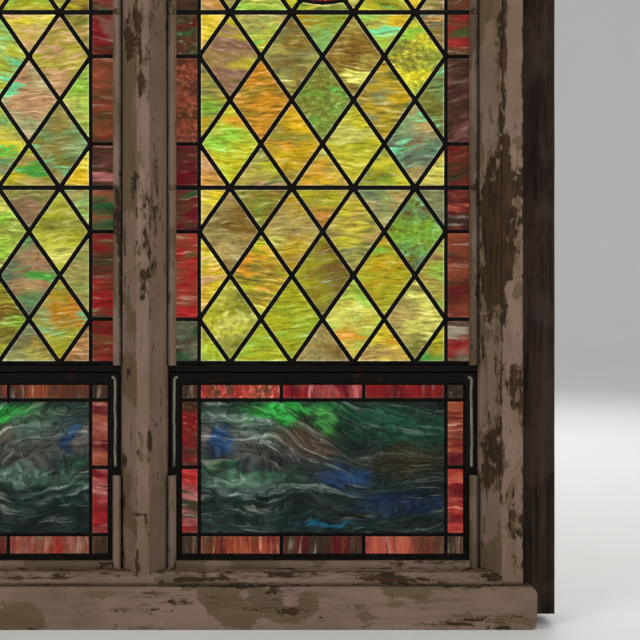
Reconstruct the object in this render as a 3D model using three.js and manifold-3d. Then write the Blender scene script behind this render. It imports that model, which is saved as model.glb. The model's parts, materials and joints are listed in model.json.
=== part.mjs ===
// A two-light stained glass window in its timber frame, with a pivoting vent below each light.
// Millimetres, +Z up, the painted room side faces -Y. The origin is the middle of the footprint.
// Depths are counted backwards from the front of the casing boards, and place() moves them to the origin.
import * as THREE from "three";
import { mergeVertices } from "three/addons/utils/BufferGeometryUtils.js";
import Module from "manifold-3d";

const wasm = await Module();
wasm.setup();

// Leaded pattern
const diamondWidth = 107.8;
const diamondHeight = 153.1;
const diamondsAcross = 4;
const diamondsUp = 2;
const sidePieceShares = [0, 0.25, 0.75, 1];
const sections = 3;
const borderWidth = 46;
const diagonalLead = 8;
const barLead = 7;
const borderLead = 6.5;
const edgeLead = 10;
const flange = 2.2;
const glass = 3;
const webThickness = 2.4;
const roundelRadius = 136;
const roundelInnerRadius = 92;
const roundelFacets = 24;
const roundelInnerFacets = 16;
const roundelSpokes = 4;

// Timber
const mullionNose = 21;
const mullionWidth = 83;
const mullionBackWidth = 103;
const revealWidth = 35.5;
const revealDepth = 45;
const arrisFlat = 2;
const frameDepth = 112;
const casingWidth = 36;
const casingThickness = 20;
const buckWidth = 60;
const buckSetBack = 26;
const buckGroundGap = 19;
const nosingHeight = 75;
const nosingProud = 8;
const nosingOverhang = 23;
const nosingTopRadius = 16;
const nosingBottomRadius = 12;
const stripHeight = 20;
const stripProud = 3;
const stripBevelHeight = 7;
const stripBevelDepth = 10;
const stripEndRadius = 6;
const sillBackProjection = 18;
const sillFall = 15;
const shoulderWidth = 10;
const cornerSegments = 5;

// Tolerances, and how far a cut runs past the solid it opens
const weldTolerance = 1e-4;
const mergeTolerance = 1e-3;
const overrun = 1;

// Stops, bars and steel
const beadWidth = 13.5;
const beadDepth = 12;
const beadBevel = 5;
const ventBeadLap = 13;
const glassDepth = 54;
const panelClearance = 2.5;
const shoulderClearance = 1;
const fit = 0.3;
const saddleBarHeight = 8;
const saddleBarThickness = 3;
const transomHeight = 11;
const transomFlangeLap = 8;
const transomFlangeThickness = 4;
const ventClearance = 2.5;
const ventDepth = 20;
const ventSetBack = 2;
const ventFace = 17.5;
const ventLip = 3;
const ventRebate = 6.5;
const ventPanelHeightTop = 36;
const ventPanelHeightBottom = 43;
const paneHeight = 236;
const pivotDiameter = 8;
const pivotReach = 9;
const pivotRoot = 3.25;
const pivotFacets = 12;
const sideStopWidth = 6;
const sideStopDepth = 14;
const sideStopFace = 4.6;
const sideStopLeg = 2;
const pivotRelief = 9;

// Places worked out from those sizes
const fieldWidth = diamondWidth * diamondsAcross;
const sectionHeight = diamondHeight * diamondsUp;
const panelHalf = fieldWidth / 2 + borderWidth + edgeLead / 2;
const openingHalf = panelHalf + panelClearance;
const lightCentre = mullionWidth / 2 + openingHalf;
const jambInner = lightCentre + openingHalf;
const jambFront = jambInner + revealWidth;
const frameHalf = jambFront + casingWidth;
const shelfZ = nosingHeight + stripHeight;
const ventBottomZ = shelfZ + ventClearance;
const ventHeight = 2 * ventFace - 2 * ventRebate + ventPanelHeightTop + ventPanelHeightBottom + paneHeight;
const ventTopZ = ventBottomZ + ventHeight;
const pivotZ = ventBottomZ + ventHeight / 2;
const transomZ = ventTopZ + ventClearance;
const panelBottomZ = transomZ + transomHeight + fit;
const fieldBottomZ = panelBottomZ + barLead / 2;
const fieldTopZ = fieldBottomZ + sections * sectionHeight;
const panelTopZ = fieldTopZ + borderWidth + edgeLead / 2;
const openingTopZ = panelTopZ + panelClearance;
const headZ = openingTopZ + revealWidth;
const casingTopZ = headZ + casingWidth;
const leadDepth = glass + 2 * flange + 2 * fit;
const leadFront = glassDepth - leadDepth / 2;
const leadBack = leadFront + leadDepth;
const shoulderFront = leadBack + shoulderClearance;
const barFront = leadFront - fit - saddleBarThickness;
const beadBack = leadFront - fit;
const beadFront = beadBack - beadDepth;
const ventFront = glassDepth - ventDepth / 2 + ventSetBack;
const ventBack = ventFront + ventDepth;
const pivotDepth = (ventFront + ventBack) / 2;
const ventHalf = panelHalf;
const ventInnerHalf = ventHalf - ventFace;
const ventPanelHalf = ventHalf - ventFace + ventRebate;
const sillBack = frameDepth + sillBackProjection;
const footprintMiddle = (sillBack - nosingProud) / 2;

// Finishes
const finishes = {
  paint: { color: "#73625a", roughness: 0.75, metalness: 0 },
  timber: { color: "#3a2c22", roughness: 0.9, metalness: 0 },
  lead: { color: "#2b2a29", roughness: 0.55, metalness: 0.6 },
  steel: { color: "#201e1d", roughness: 0.6, metalness: 0.7 },
  glass: { color: "#b79a3e", roughness: 0.2, metalness: 0 },
  bluePane: { color: "#2c4a55", roughness: 0.2, metalness: 0 },
};

const window = new THREE.Group();

// Moves a depth behind the casing front to the part's own Y
const place = (depth) => depth - footprintMiddle;

// Solid to boolean form and back
function toManifold(geometry) {
  const bare = geometry.clone();
  bare.deleteAttribute("normal");
  bare.deleteAttribute("uv");
  const merged = mergeVertices(bare, weldTolerance);
  return new wasm.Manifold(new wasm.Mesh({
    numProp: 3,
    vertProperties: new Float32Array(merged.attributes.position.array),
    triVerts: new Uint32Array(merged.index.array),
  }));
}

function toGeometry(solid) {
  const mesh = solid.getMesh();
  const geometry = new THREE.BufferGeometry();
  geometry.setAttribute("position", new THREE.BufferAttribute(new Float32Array(mesh.vertProperties), 3));
  geometry.setIndex(new THREE.BufferAttribute(new Uint32Array(mesh.triVerts), 1));
  return geometry;
}

function addWithEdges(name, solid, finish) {
  const material = new THREE.MeshStandardMaterial(finishes[finish]);
  const mesh = new THREE.Mesh(toGeometry(solid), material);
  mesh.name = name;
  window.add(mesh);
}

// Adds a solid with its coplanar faces joined
function add(name, solid, finish) {
  addWithEdges(name, solid.asOriginal().simplify(mergeTolerance), finish);
}

// Box between two corners, each given as x, depth and height
function box(x0, depth0, z0, x1, depth1, z1) {
  const geometry = new THREE.BoxGeometry(Math.abs(x1 - x0), Math.abs(depth1 - depth0), Math.abs(z1 - z0));
  geometry.translate((x0 + x1) / 2, place((depth0 + depth1) / 2), (z0 + z1) / 2);
  return toManifold(geometry);
}

function shapeOf(points) {
  const area = THREE.ShapeUtils.area(points.map(([a, b]) => new THREE.Vector2(a, b)));
  const ordered = area < 0 ? [...points].reverse() : points;
  return new THREE.Shape(ordered.map(([a, b]) => new THREE.Vector2(a, b)));
}

// Section in plan, given as x and depth, standing from one height to another
function upright(points, bottom, top) {
  const section = shapeOf(points.map(([x, depth]) => [x, place(depth)]));
  const geometry = new THREE.ExtrudeGeometry(section, { depth: top - bottom, bevelEnabled: false });
  geometry.translate(0, 0, bottom);
  return toManifold(geometry);
}

// Section across the wall, given as depth and height, running from one x to another
function level(points, left, right) {
  const section = shapeOf(points.map(([depth, z]) => [place(depth), z]));
  const geometry = new THREE.ExtrudeGeometry(section, { depth: right - left, bevelEnabled: false });
  geometry.applyMatrix4(new THREE.Matrix4().set(0, 0, 1, left, 1, 0, 0, 0, 0, 1, 0, 0, 0, 0, 0, 1));
  return toManifold(geometry);
}

// Outline in the plane of the wall, given as x and z, between two depths
function slab(outline, front, back) {
  const geometry = new THREE.ExtrudeGeometry(shapeOf(outline), { depth: back - front, bevelEnabled: false });
  geometry.applyMatrix4(new THREE.Matrix4().set(1, 0, 0, 0, 0, 0, -1, place(back), 0, 1, 0, 0, 0, 0, 0, 1));
  return toManifold(geometry);
}

// The same with openings cut right through it
function plate(outline, openings, front, back) {
  const through = openings.map((points) => slab(points, front - overrun, back + overrun));
  return wasm.Manifold.difference([slab(outline, front, back), ...through]);
}

const rectangle = (x0, z0, x1, z1) => [[x0, z0], [x1, z0], [x1, z1], [x0, z1]];

function disc(x, z, radius, facets, front, back) {
  const points = Array.from({ length: facets }, (_, i) => {
    const angle = (2 * Math.PI * i) / facets;
    return [x + radius * Math.cos(angle), z + radius * Math.sin(angle)];
  });
  return slab(points, front, back);
}

// Cuts an outline back to the side of a line where nx * x + nz * z stays under the limit
function clip(points, nx, nz, limit) {
  const kept = [];
  points.forEach((point, i) => {
    const next = points[(i + 1) % points.length];
    const here = nx * point[0] + nz * point[1] - limit;
    const there = nx * next[0] + nz * next[1] - limit;
    if (here <= 0) {
      kept.push(point);
    }
    if (here * there < 0) {
      const share = here / (here - there);
      kept.push([point[0] + share * (next[0] - point[0]), point[1] + share * (next[1] - point[1])]);
    }
  });
  return kept;
}

// Sight openings of the diamond field of one section, between its leads
function fieldOpenings(centreX, bottomZ) {
  const slope = Math.hypot(1 / diamondWidth, 1 / diamondHeight);
  const reach = 0.5 / slope - diagonalLead / 2;
  const nx = 1 / diamondWidth / slope;
  const nz = 1 / diamondHeight / slope;
  const openings = [];
  for (let row = 0; row <= 2 * diamondsUp; row += 1) {
    for (let column = row % 2; column <= 2 * diamondsAcross; column += 2) {
      const x = centreX + (column / 2 - diamondsAcross / 2) * diamondWidth;
      const z = bottomZ + (row / 2) * diamondHeight;
      let cell = rectangle(
        centreX - fieldWidth / 2 + borderLead / 2, bottomZ + barLead / 2,
        centreX + fieldWidth / 2 - borderLead / 2, bottomZ + sectionHeight - barLead / 2);
      for (const [a, b] of [[nx, nz], [-nx, nz], [-nx, -nz], [nx, -nz]]) {
        cell = clip(cell, a, b, a * x + b * z + reach);
      }
      if (cell.length > 2) {
        openings.push(cell);
      }
    }
  }
  return openings;
}

// Sight openings of a strip of border glass, cut into pieces at the given shares of its length
function stripOpenings(x0, z0, x1, z1, shares) {
  const along = x1 - x0 > z1 - z0;
  return shares.slice(1).map((share, i) => {
    const before = shares[i] > 0 ? borderLead / 2 : 0;
    const after = share < 1 ? borderLead / 2 : 0;
    return along
      ? rectangle(x0 + shares[i] * (x1 - x0) + before, z0, x0 + share * (x1 - x0) - after, z1)
      : rectangle(x0, z0 + shares[i] * (z1 - z0) + before, x1, z0 + share * (z1 - z0) - after);
  });
}

// Two flanges joined by a web all round their edge, with the glass between them
function leadNet(x0, z0, x1, z1, openings, front) {
  const back = front + leadDepth;
  const outline = rectangle(x0, z0, x1, z1);
  const web = plate(
    rectangle(x0 + fit, z0 + fit, x1 - fit, z1 - fit),
    [rectangle(x0 + webThickness, z0 + webThickness, x1 - webThickness, z1 - webThickness)],
    front + flange / 2, back - flange / 2);
  return plate(outline, openings, front, front + flange)
    .add(plate(outline, openings, back - flange, back))
    .add(web);
}

function glassSheet(x0, z0, x1, z1, front) {
  const inset = webThickness + fit;
  const start = front + flange + fit;
  return box(x0 + inset, start, z0 + inset, x1 - inset, start + glass, z1 - inset);
}

// Round medallion: an outer and an inner lead ring with spokes between them
function roundelLeads(x, z, front, back) {
  const half = borderLead / 2;
  const ring = (radius, facets) => disc(x, z, radius + half, facets, front, back)
    .subtract(disc(x, z, radius - half, facets, front - overrun, back + overrun));
  let leads = ring(roundelRadius, roundelFacets).add(ring(roundelInnerRadius, roundelInnerFacets));
  for (let i = 0; i < roundelSpokes; i += 1) {
    const angle = (2 * Math.PI * (i + 0.5)) / roundelSpokes;
    const [c, s] = [Math.cos(angle), Math.sin(angle)];
    const corner = (r, side) => [x + r * c - side * half * s, z + r * s + side * half * c];
    const [from, to] = [roundelInnerRadius, roundelRadius];
    leads = leads.add(slab([corner(from, -1), corner(to, -1), corner(to, 1), corner(from, 1)], front, back));
  }
  return leads;
}

// Panels of the fixed light, the top one with the roundel and the head border
function fixedPanels(side, centre) {
  const names = ["lower", "middle", "upper"];
  names.forEach((name, i) => {
    const bottom = fieldBottomZ + i * sectionHeight;
    const top = bottom + sectionHeight;
    const crown = i === sections - 1;
    const panelBottom = i === 0 ? panelBottomZ : bottom + fit / 2;
    const panelTop = crown ? panelTopZ : top - fit / 2;
    const inner = fieldWidth / 2 + borderLead / 2;
    const outer = panelHalf - edgeLead;
    const openings = fieldOpenings(centre, bottom);
    for (const sign of [-1, 1]) {
      const xs = [centre + sign * inner, centre + sign * outer].sort((a, b) => a - b);
      openings.push(...stripOpenings(xs[0], bottom + barLead / 2, xs[1], top - barLead / 2, sidePieceShares));
    }
    if (crown) {
      const headShares = [0, borderWidth, borderWidth + fieldWidth / 3, borderWidth + (2 * fieldWidth) / 3,
        borderWidth + fieldWidth, 2 * borderWidth + fieldWidth].map((run) => run / (fieldWidth + 2 * borderWidth));
      openings.push(...stripOpenings(
        centre - outer, top + barLead / 2, centre + outer, panelTop - edgeLead, headShares));
    }
    let lead = leadNet(centre - panelHalf, panelBottom, centre + panelHalf, panelTop, openings, leadFront);
    if (crown) {
      const middle = bottom + sectionHeight / 2;
      for (const front of [leadFront, leadBack - flange]) {
        const hole = disc(
          centre, middle, roundelRadius, roundelFacets, front - fit / 2, front + flange + fit / 2);
        lead = lead.subtract(hole).add(roundelLeads(centre, middle, front, front + flange));
      }
    }
    add(`${side}_lead_${name}`, lead, "lead");
    add(`${side}_glass_${name}`, glassSheet(
      centre - panelHalf, panelBottom, centre + panelHalf, panelTop, leadFront), "glass");
  });
}

// Pivoting vent: steel frame with its two pins, and its leaded panel with one large pane
function vent(side, centre) {
  const through = ventDepth + overrun;
  let frame = box(centre - ventHalf, ventFront, ventBottomZ, centre + ventHalf, ventBack, ventTopZ)
    .subtract(box(centre - ventInnerHalf, ventFront - overrun, ventBottomZ + ventFace,
      centre + ventInnerHalf, ventFront + through, ventTopZ - ventFace))
    .subtract(box(centre - ventPanelHalf, ventFront + ventLip, ventBottomZ + ventFace - ventRebate,
      centre + ventPanelHalf, ventFront + through, ventTopZ - ventFace + ventRebate));
  const pinLength = pivotRoot + panelClearance + pivotReach;
  for (const sign of [-1, 1]) {
    const pin = new THREE.CylinderGeometry(pivotDiameter / 2, pivotDiameter / 2, pinLength, pivotFacets);
    pin.rotateZ(Math.PI / 2);
    pin.translate(centre + sign * (ventHalf - pivotRoot + pinLength / 2), place(pivotDepth), pivotZ);
    frame = frame.add(toManifold(pin));
  }
  add(`${side}_vent_frame`, frame, "steel");

  const x0 = centre - ventPanelHalf + fit;
  const x1 = centre + ventPanelHalf - fit;
  const z0 = ventBottomZ + ventFace - ventRebate + fit;
  const z1 = ventTopZ - ventFace + ventRebate - fit;
  const front = ventFront + ventLip + fit;
  const paneBottom = z0 + ventPanelHeightBottom;
  const paneTop = z1 - ventPanelHeightTop;
  const half = borderLead / 2;
  const edge = edgeLead - half;
  const third = fieldWidth / 3;
  const left = centre - fieldWidth / 2;
  const right = centre + fieldWidth / 2;
  const crossShares = [x0 + edge, left, left + third, right - third, right, x1 - edge]
    .map((x) => (x - x0 - edge) / (x1 - x0 - 2 * edge));
  const openings = [rectangle(left + half, paneBottom + half, right - half, paneTop - half)];
  openings.push(...stripOpenings(x0 + edge, z0 + edge, x1 - edge, paneBottom - half, crossShares));
  openings.push(...stripOpenings(x0 + edge, paneTop + half, x1 - edge, z1 - edge, crossShares));
  for (const [from, to] of [[x0 + edge, left - half], [right + half, x1 - edge]]) {
    openings.push(...stripOpenings(from, paneBottom + half, to, paneTop - half, [0, 0.5, 1]));
  }
  add(`${side}_vent_lead`, leadNet(x0, z0, x1, z1, openings, front), "lead");
  add(`${side}_vent_glass`, glassSheet(x0, z0, x1, z1, front), "bluePane");
}

// Bevelled glazing bead beside the glass, its bevel turned to the room and the light
function beadSection(inner, outer, front, back) {
  const turn = Math.sign(inner - outer) * beadBevel;
  return [[outer, front], [inner - turn, front], [inner, front + beadBevel], [inner, back], [outer, back]];
}

// Stops, bars and the transom of one light
function lightFittings(side, centre) {
  const barHeights = [fieldBottomZ + sectionHeight, fieldBottomZ + 2 * sectionHeight];
  const barEnd = openingHalf - fit;
  ["lower", "upper"].forEach((word, i) => add(`${side}_saddle_bar_${word}`,
    box(centre - barEnd, barFront, barHeights[i] - saddleBarHeight / 2,
      centre + barEnd, barFront + saddleBarThickness, barHeights[i] + saddleBarHeight / 2), "steel"));

  for (const [word, sign] of [["left", -1], ["right", 1]]) {
    const outer = centre + sign * (openingHalf - fit);
    const inner = centre + sign * (openingHalf - beadWidth);
    // Each length between two levels has the full section, or the thinner one in front of a bar
    const notch = saddleBarHeight / 2 + fit;
    const levels = [transomZ + transomHeight + fit, ...barHeights.flatMap((z) => [z - notch, z + notch]),
      openingTopZ - beadWidth - fit];
    const lengths = levels.slice(1).map((level, i) => upright(
      beadSection(inner, outer, beadFront, i % 2 ? barFront - fit : beadBack), levels[i], level));
    addWithEdges(`${side}_stop_${word}`, wasm.Manifold.union(lengths), "paint");

    const ventStopTop = pivotZ - pivotRelief;
    add(`${side}_vent_stop_${word}`, upright(
      beadSection(inner, outer, ventFront - fit - beadDepth, ventFront - fit), shelfZ + fit, ventStopTop), "paint");

    const stripInner = centre + sign * (openingHalf - panelClearance - sideStopWidth);
    const faceBack = ventBack + fit + sideStopFace;
    const legInner = outer - sign * sideStopLeg;
    add(`${side}_vent_side_stop_${word}`, upright(
      [[outer, ventBack + fit], [stripInner, ventBack + fit], [stripInner, faceBack], [legInner, faceBack],
        [legInner, ventBack + sideStopDepth], [outer, ventBack + sideStopDepth]],
      pivotZ + pivotRelief, transomZ - transomFlangeLap - fit), "steel");
  }

  const top = openingTopZ - fit;
  const bevelled = [[beadFront, top], [beadFront, top - beadWidth + beadBevel],
    [beadFront + beadBevel, top - beadWidth], [beadBack, top - beadWidth], [beadBack, top]];
  add(`${side}_stop_top`, level(bevelled, centre - openingHalf + fit, centre + openingHalf - fit), "paint");

  const low = shelfZ + fit;
  const front = ventFront - fit - beadDepth;
  const back = ventFront - fit;
  const lowBead = [[front, low], [back, low], [back, low + ventBeadLap], [front + beadBevel, low + ventBeadLap],
    [front, low + ventBeadLap - beadBevel]];
  add(`${side}_vent_stop_bottom`, level(lowBead, centre - openingHalf + beadWidth + fit,
    centre + openingHalf - beadWidth - fit), "paint");

  const transomFront = leadFront - saddleBarThickness;
  const flangeBack = ventBack + fit + transomFlangeThickness;
  const tee = [[transomFront, transomZ], [ventBack + fit, transomZ], [ventBack + fit, transomZ - transomFlangeLap],
    [flangeBack, transomZ - transomFlangeLap], [flangeBack, transomZ + transomHeight],
    [transomFront, transomZ + transomHeight]];
  add(`${side}_transom_bar`, level(tee, centre - openingHalf + fit, centre + openingHalf - fit), "steel");
}

// Timber round both lights
function sillPieces() {
  const sillFront = casingThickness + fit;
  const sillLevelBack = ventBack + sideStopDepth;
  add("sill", level([[sillFront, 0], [sillBack, 0], [sillBack, shelfZ - sillFall], [sillLevelBack, shelfZ],
    [sillFront, shelfZ]], -frameHalf, frameHalf), "paint");

  const endX = frameHalf + nosingOverhang;
  const corner = (x, z, radius, start) => Array.from({ length: cornerSegments + 1 }, (_, i) => {
    const angle = start + (i * Math.PI) / 2 / cornerSegments;
    return [x + radius * Math.cos(angle), z + radius * Math.sin(angle)];
  });
  const topR = nosingTopRadius;
  const lowR = nosingBottomRadius;
  const outline = [
    ...corner(endX - topR, nosingHeight - topR, topR, 0),
    ...corner(-endX + topR, nosingHeight - topR, topR, Math.PI / 2),
    ...corner(-endX + lowR, lowR, lowR, Math.PI),
    ...corner(endX - lowR, lowR, lowR, 1.5 * Math.PI)];
  add("sill_nosing", slab(outline, -nosingProud, casingThickness), "paint");

  const stripEnd = jambFront - fit;
  const bottom = nosingHeight + fit;
  const section = [[-stripProud, bottom], [casingThickness, bottom], [casingThickness, shelfZ],
    [stripBevelDepth - stripProud, shelfZ], [-stripProud, shelfZ - stripBevelHeight]];
  const rounded = slab([
    ...corner(stripEnd - stripEndRadius, shelfZ - stripEndRadius, stripEndRadius, 0),
    ...corner(-stripEnd + stripEndRadius, shelfZ - stripEndRadius, stripEndRadius, Math.PI / 2),
    [-stripEnd, bottom], [stripEnd, bottom]], -stripProud - overrun, casingThickness + overrun);
  add("sill_strip", level(section, -stripEnd, stripEnd).intersect(rounded), "paint");
}

// What an upright must leave free at its foot: the sill, the strip and the room round the vent
function footCuts(solid, openings) {
  const cutTop = shelfZ + fit;
  const clearOfSill = box(
    -frameHalf - overrun, casingThickness, -overrun, frameHalf + overrun, sillBack, cutTop);
  const bevelRise = stripBevelHeight / stripBevelDepth;
  const bevelBack = stripBevelDepth - stripProud;
  const front = -stripProud - overrun;
  const clearOfStrip = level([[front, 0], [casingThickness + overrun, 0], [casingThickness + overrun, cutTop],
    [bevelBack, cutTop], [front, cutTop - bevelRise * (bevelBack - front)]], -frameHalf, frameHalf);
  let cut = solid.subtract(clearOfSill).subtract(clearOfStrip);
  openings.forEach(([centre, sign]) => {
    const face = centre + sign * openingHalf;
    cut = cut.subtract(box(face - sign * (shoulderWidth + overrun), shoulderFront - overrun, 0,
      face, frameDepth + overrun, transomZ + transomHeight + fit));
    const socket = new THREE.CylinderGeometry(pivotDiameter / 2 + fit, pivotDiameter / 2 + fit,
      2 * (pivotReach + fit), pivotFacets);
    socket.rotateZ(Math.PI / 2);
    socket.translate(face, place(pivotDepth), pivotZ);
    cut = cut.subtract(toManifold(socket));
  });
  return cut;
}

function frameTimber() {
  const half = mullionWidth / 2;
  const backHalf = mullionBackWidth / 2;
  const nose = mullionNose / 2;
  const mullion = [[-nose, 0], [nose, 0], [half, revealDepth], [half, shoulderFront], [backHalf, shoulderFront],
    [backHalf, frameDepth], [-backHalf, frameDepth], [-backHalf, shoulderFront], [-half, shoulderFront],
    [-half, revealDepth]];
  const noseFoot = shelfZ - stripBevelHeight - stripProud;
  add("mullion", footCuts(upright(mullion, noseFoot, openingTopZ - fit),
    [[lightCentre, -1], [-lightCentre, 1]]), "paint");

  for (const [word, sign] of [["left", -1], ["right", 1]]) {
    const section = [[jambFront - arrisFlat, 0], [jambInner, revealDepth], [jambInner, shoulderFront],
      [jambInner - shoulderWidth, shoulderFront], [jambInner - shoulderWidth, frameDepth], [frameHalf, frameDepth],
      [frameHalf, casingThickness + fit], [jambFront - fit, casingThickness + fit], [jambFront - fit, 0]];
    const jamb = upright(section.map(([x, depth]) => [sign * x, depth]), noseFoot, openingTopZ - fit);
    add(`jamb_${word}`, footCuts(jamb, [[sign * lightCentre, sign]]), "paint");
    const [x0, x1] = [sign * jambFront, sign * frameHalf];
    add(`casing_${word}`, box(x0, 0, nosingHeight + fit, x1, casingThickness, casingTopZ), "paint");
    const [b0, b1] = [sign * (frameHalf + fit), sign * (frameHalf + buckWidth)];
    add(`buck_${word}`, box(b0, buckSetBack, buckGroundGap, b1, frameDepth, casingTopZ), "timber");
  }

  // Bevelled head over both lights, housed at the back over the mullion and the jambs
  const head = [[0, headZ - arrisFlat], [revealDepth, openingTopZ], [shoulderFront, openingTopZ],
    [shoulderFront, openingTopZ - shoulderWidth], [frameDepth, openingTopZ - shoulderWidth],
    [frameDepth, casingTopZ], [casingThickness + fit, casingTopZ], [casingThickness + fit, headZ - fit],
    [0, headZ - fit]];
  const housing = (x0, x1) => box(
    x0, shoulderFront - overrun, openingTopZ - shoulderWidth - overrun, x1, frameDepth + overrun, openingTopZ);
  let lintel = level(head, -frameHalf, frameHalf).subtract(housing(-backHalf - fit, backHalf + fit));
  for (const sign of [-1, 1]) {
    const end = sign * (frameHalf + overrun);
    lintel = lintel
      .subtract(housing(sign * (jambInner - shoulderWidth - fit), end))
      .subtract(box(sign * (jambFront - fit), -overrun, headZ - revealWidth, end, casingThickness + fit,
        headZ + overrun));
  }
  add("head", lintel, "paint");
  add("casing_top", box(-jambFront + fit, 0, headZ, jambFront - fit, casingThickness, casingTopZ), "paint");
}

sillPieces();
frameTimber();
for (const [side, sign] of [["left", -1], ["right", 1]]) {
  const centre = sign * lightCentre;
  lightFittings(side, centre);
  fixedPanels(side, centre);
  vent(side, centre);
}

export default window;
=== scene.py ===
"""Looks of a two-light stained glass window: streaky glass, lead, steel and flaking painted timber."""
import bmesh
import bpy
import json
import math
import random
from mathutils import Matrix, Vector, noise

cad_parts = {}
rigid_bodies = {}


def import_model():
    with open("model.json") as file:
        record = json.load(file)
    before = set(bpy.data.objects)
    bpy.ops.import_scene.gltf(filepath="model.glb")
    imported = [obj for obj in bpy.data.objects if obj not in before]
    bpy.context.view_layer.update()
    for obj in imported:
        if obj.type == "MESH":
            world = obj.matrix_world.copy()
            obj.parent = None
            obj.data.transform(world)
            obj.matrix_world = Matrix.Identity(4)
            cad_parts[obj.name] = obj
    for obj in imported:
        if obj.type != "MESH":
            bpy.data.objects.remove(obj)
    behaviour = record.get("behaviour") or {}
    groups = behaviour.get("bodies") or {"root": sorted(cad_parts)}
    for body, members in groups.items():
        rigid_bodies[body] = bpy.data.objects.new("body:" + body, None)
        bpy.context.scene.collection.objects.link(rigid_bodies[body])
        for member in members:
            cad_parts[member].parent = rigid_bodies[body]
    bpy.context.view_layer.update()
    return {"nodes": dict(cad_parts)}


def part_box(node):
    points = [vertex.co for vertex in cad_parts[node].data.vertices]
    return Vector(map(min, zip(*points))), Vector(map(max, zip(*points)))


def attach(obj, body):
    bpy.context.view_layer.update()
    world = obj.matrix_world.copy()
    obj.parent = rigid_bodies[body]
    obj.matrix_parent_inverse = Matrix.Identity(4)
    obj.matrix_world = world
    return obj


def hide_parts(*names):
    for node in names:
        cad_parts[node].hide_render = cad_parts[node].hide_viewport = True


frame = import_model()

# Sizes in metres, as in the model
DIAMOND_W = 0.1078
DIAMOND_H = 0.1531
ACROSS = 4
UP = 2
FIELD_W = DIAMOND_W * ACROSS
SECTION_H = DIAMOND_H * UP
DIAGONAL_LEAD = 0.008
BAR_LEAD = 0.007
BORDER_LEAD = 0.0065
EDGE_LEAD = 0.010
ROUNDEL_R = 0.136
ROUNDEL_INNER_R = 0.092
ROUNDEL_STEPS = 72
ROUNDEL_ARC = 6
ROUNDEL_PARTS = 28
DISC_STEPS = 48
ROUNDEL_SPOKES = 4
HEART = 0.0008
LEAD_DOME = 0.004
LEAD_SET = 0.0018
SOLDER = 0.66
VENT_PANE_FOOT = 0.043
VENT_PANE_HEAD = 0.036
SIDES = {"left": -1, "right": 1}
PANELS = ("lower", "middle", "upper")

# Camera of the photograph, in pixels of its frame and metres
PHOTO = 640
METRES_PER_PIXEL = 0.00175
MULLION_PIXEL = 145
GROUND_PIXEL = 621
EYE_PIXEL = (243, 250)
EYE_DISTANCE = 2.6
SENSOR = 36

# Range of a glass sheet's lot number, and the number from which a sheet is crackled, not streaked
SHEET_LOTS = 9
CRACKLED_FROM = 7.8


def middle(low, high):
    return (low + high) / 2


def box_of(node):
    low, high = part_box(node)
    return Vector(low), Vector(high)


def axis_vector(axis):
    return Vector([1.0 if i == axis else 0.0 for i in range(3)])


def rugged(place, octaves=3, roughness=0.8):
    """Fractal noise of about -1 to 1."""
    return noise.fractal(place, roughness, 2.0, octaves)


def mesh_of(work, name):
    """Plain mesh of a bmesh, which is freed."""
    mesh = bpy.data.meshes.new(name)
    work.to_mesh(mesh)
    work.free()
    return mesh


# Shader maths on node sockets
class Signal:
    """A shader socket that ordinary arithmetic works on."""

    def __init__(self, tree, socket):
        self.tree = tree
        self.socket = socket

    def math(self, operation, *values):
        node = self.tree.nodes.new("ShaderNodeMath")
        node.operation = operation
        for slot, value in zip(node.inputs, (self, *values)):
            plug(self.tree, slot, value)
        return Signal(self.tree, node.outputs[0])

    def __add__(self, other):
        return self.math("ADD", other)

    def __sub__(self, other):
        return self.math("SUBTRACT", other)

    def __mul__(self, other):
        return self.math("MULTIPLY", other)

    def __rsub__(self, other):
        return self.math("MULTIPLY_ADD", -1.0, other)

    __radd__ = __add__
    __rmul__ = __mul__

    def above(self, low, high):
        """0 below low, 1 above high, smooth between."""
        node = self.tree.nodes.new("ShaderNodeMapRange")
        node.interpolation_type = "SMOOTHSTEP"
        plug(self.tree, node.inputs["Value"], self)
        plug(self.tree, node.inputs["From Min"], low)
        plug(self.tree, node.inputs["From Max"], high)
        return Signal(self.tree, node.outputs["Result"])


def plug(tree, slot, value):
    if isinstance(value, Signal):
        tree.links.new(value.socket, slot)
    else:
        slot.default_value = value


def colour(red, green, blue):
    """Linear colour from display values of 0 to 255."""
    def linear(value):
        share = value / 255
        return share / 12.92 if share <= 0.04045 else ((share + 0.055) / 1.055) ** 2.4
    return (linear(red), linear(green), linear(blue), 1.0)


class Nodes:
    """A node tree in the making."""

    def __init__(self, tree):
        self.tree = tree

    def node(self, kind, settings=None, sockets=None, output=0):
        """Adds a node, with its settings and inputs, and gives one of its outputs."""
        node = self.tree.nodes.new(kind)
        for name, value in (settings or {}).items():
            setattr(node, name, value)
        for name, value in (sockets or {}).items():
            plug(self.tree, node.inputs[name], value)
        return Signal(self.tree, node.outputs[output])


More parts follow.
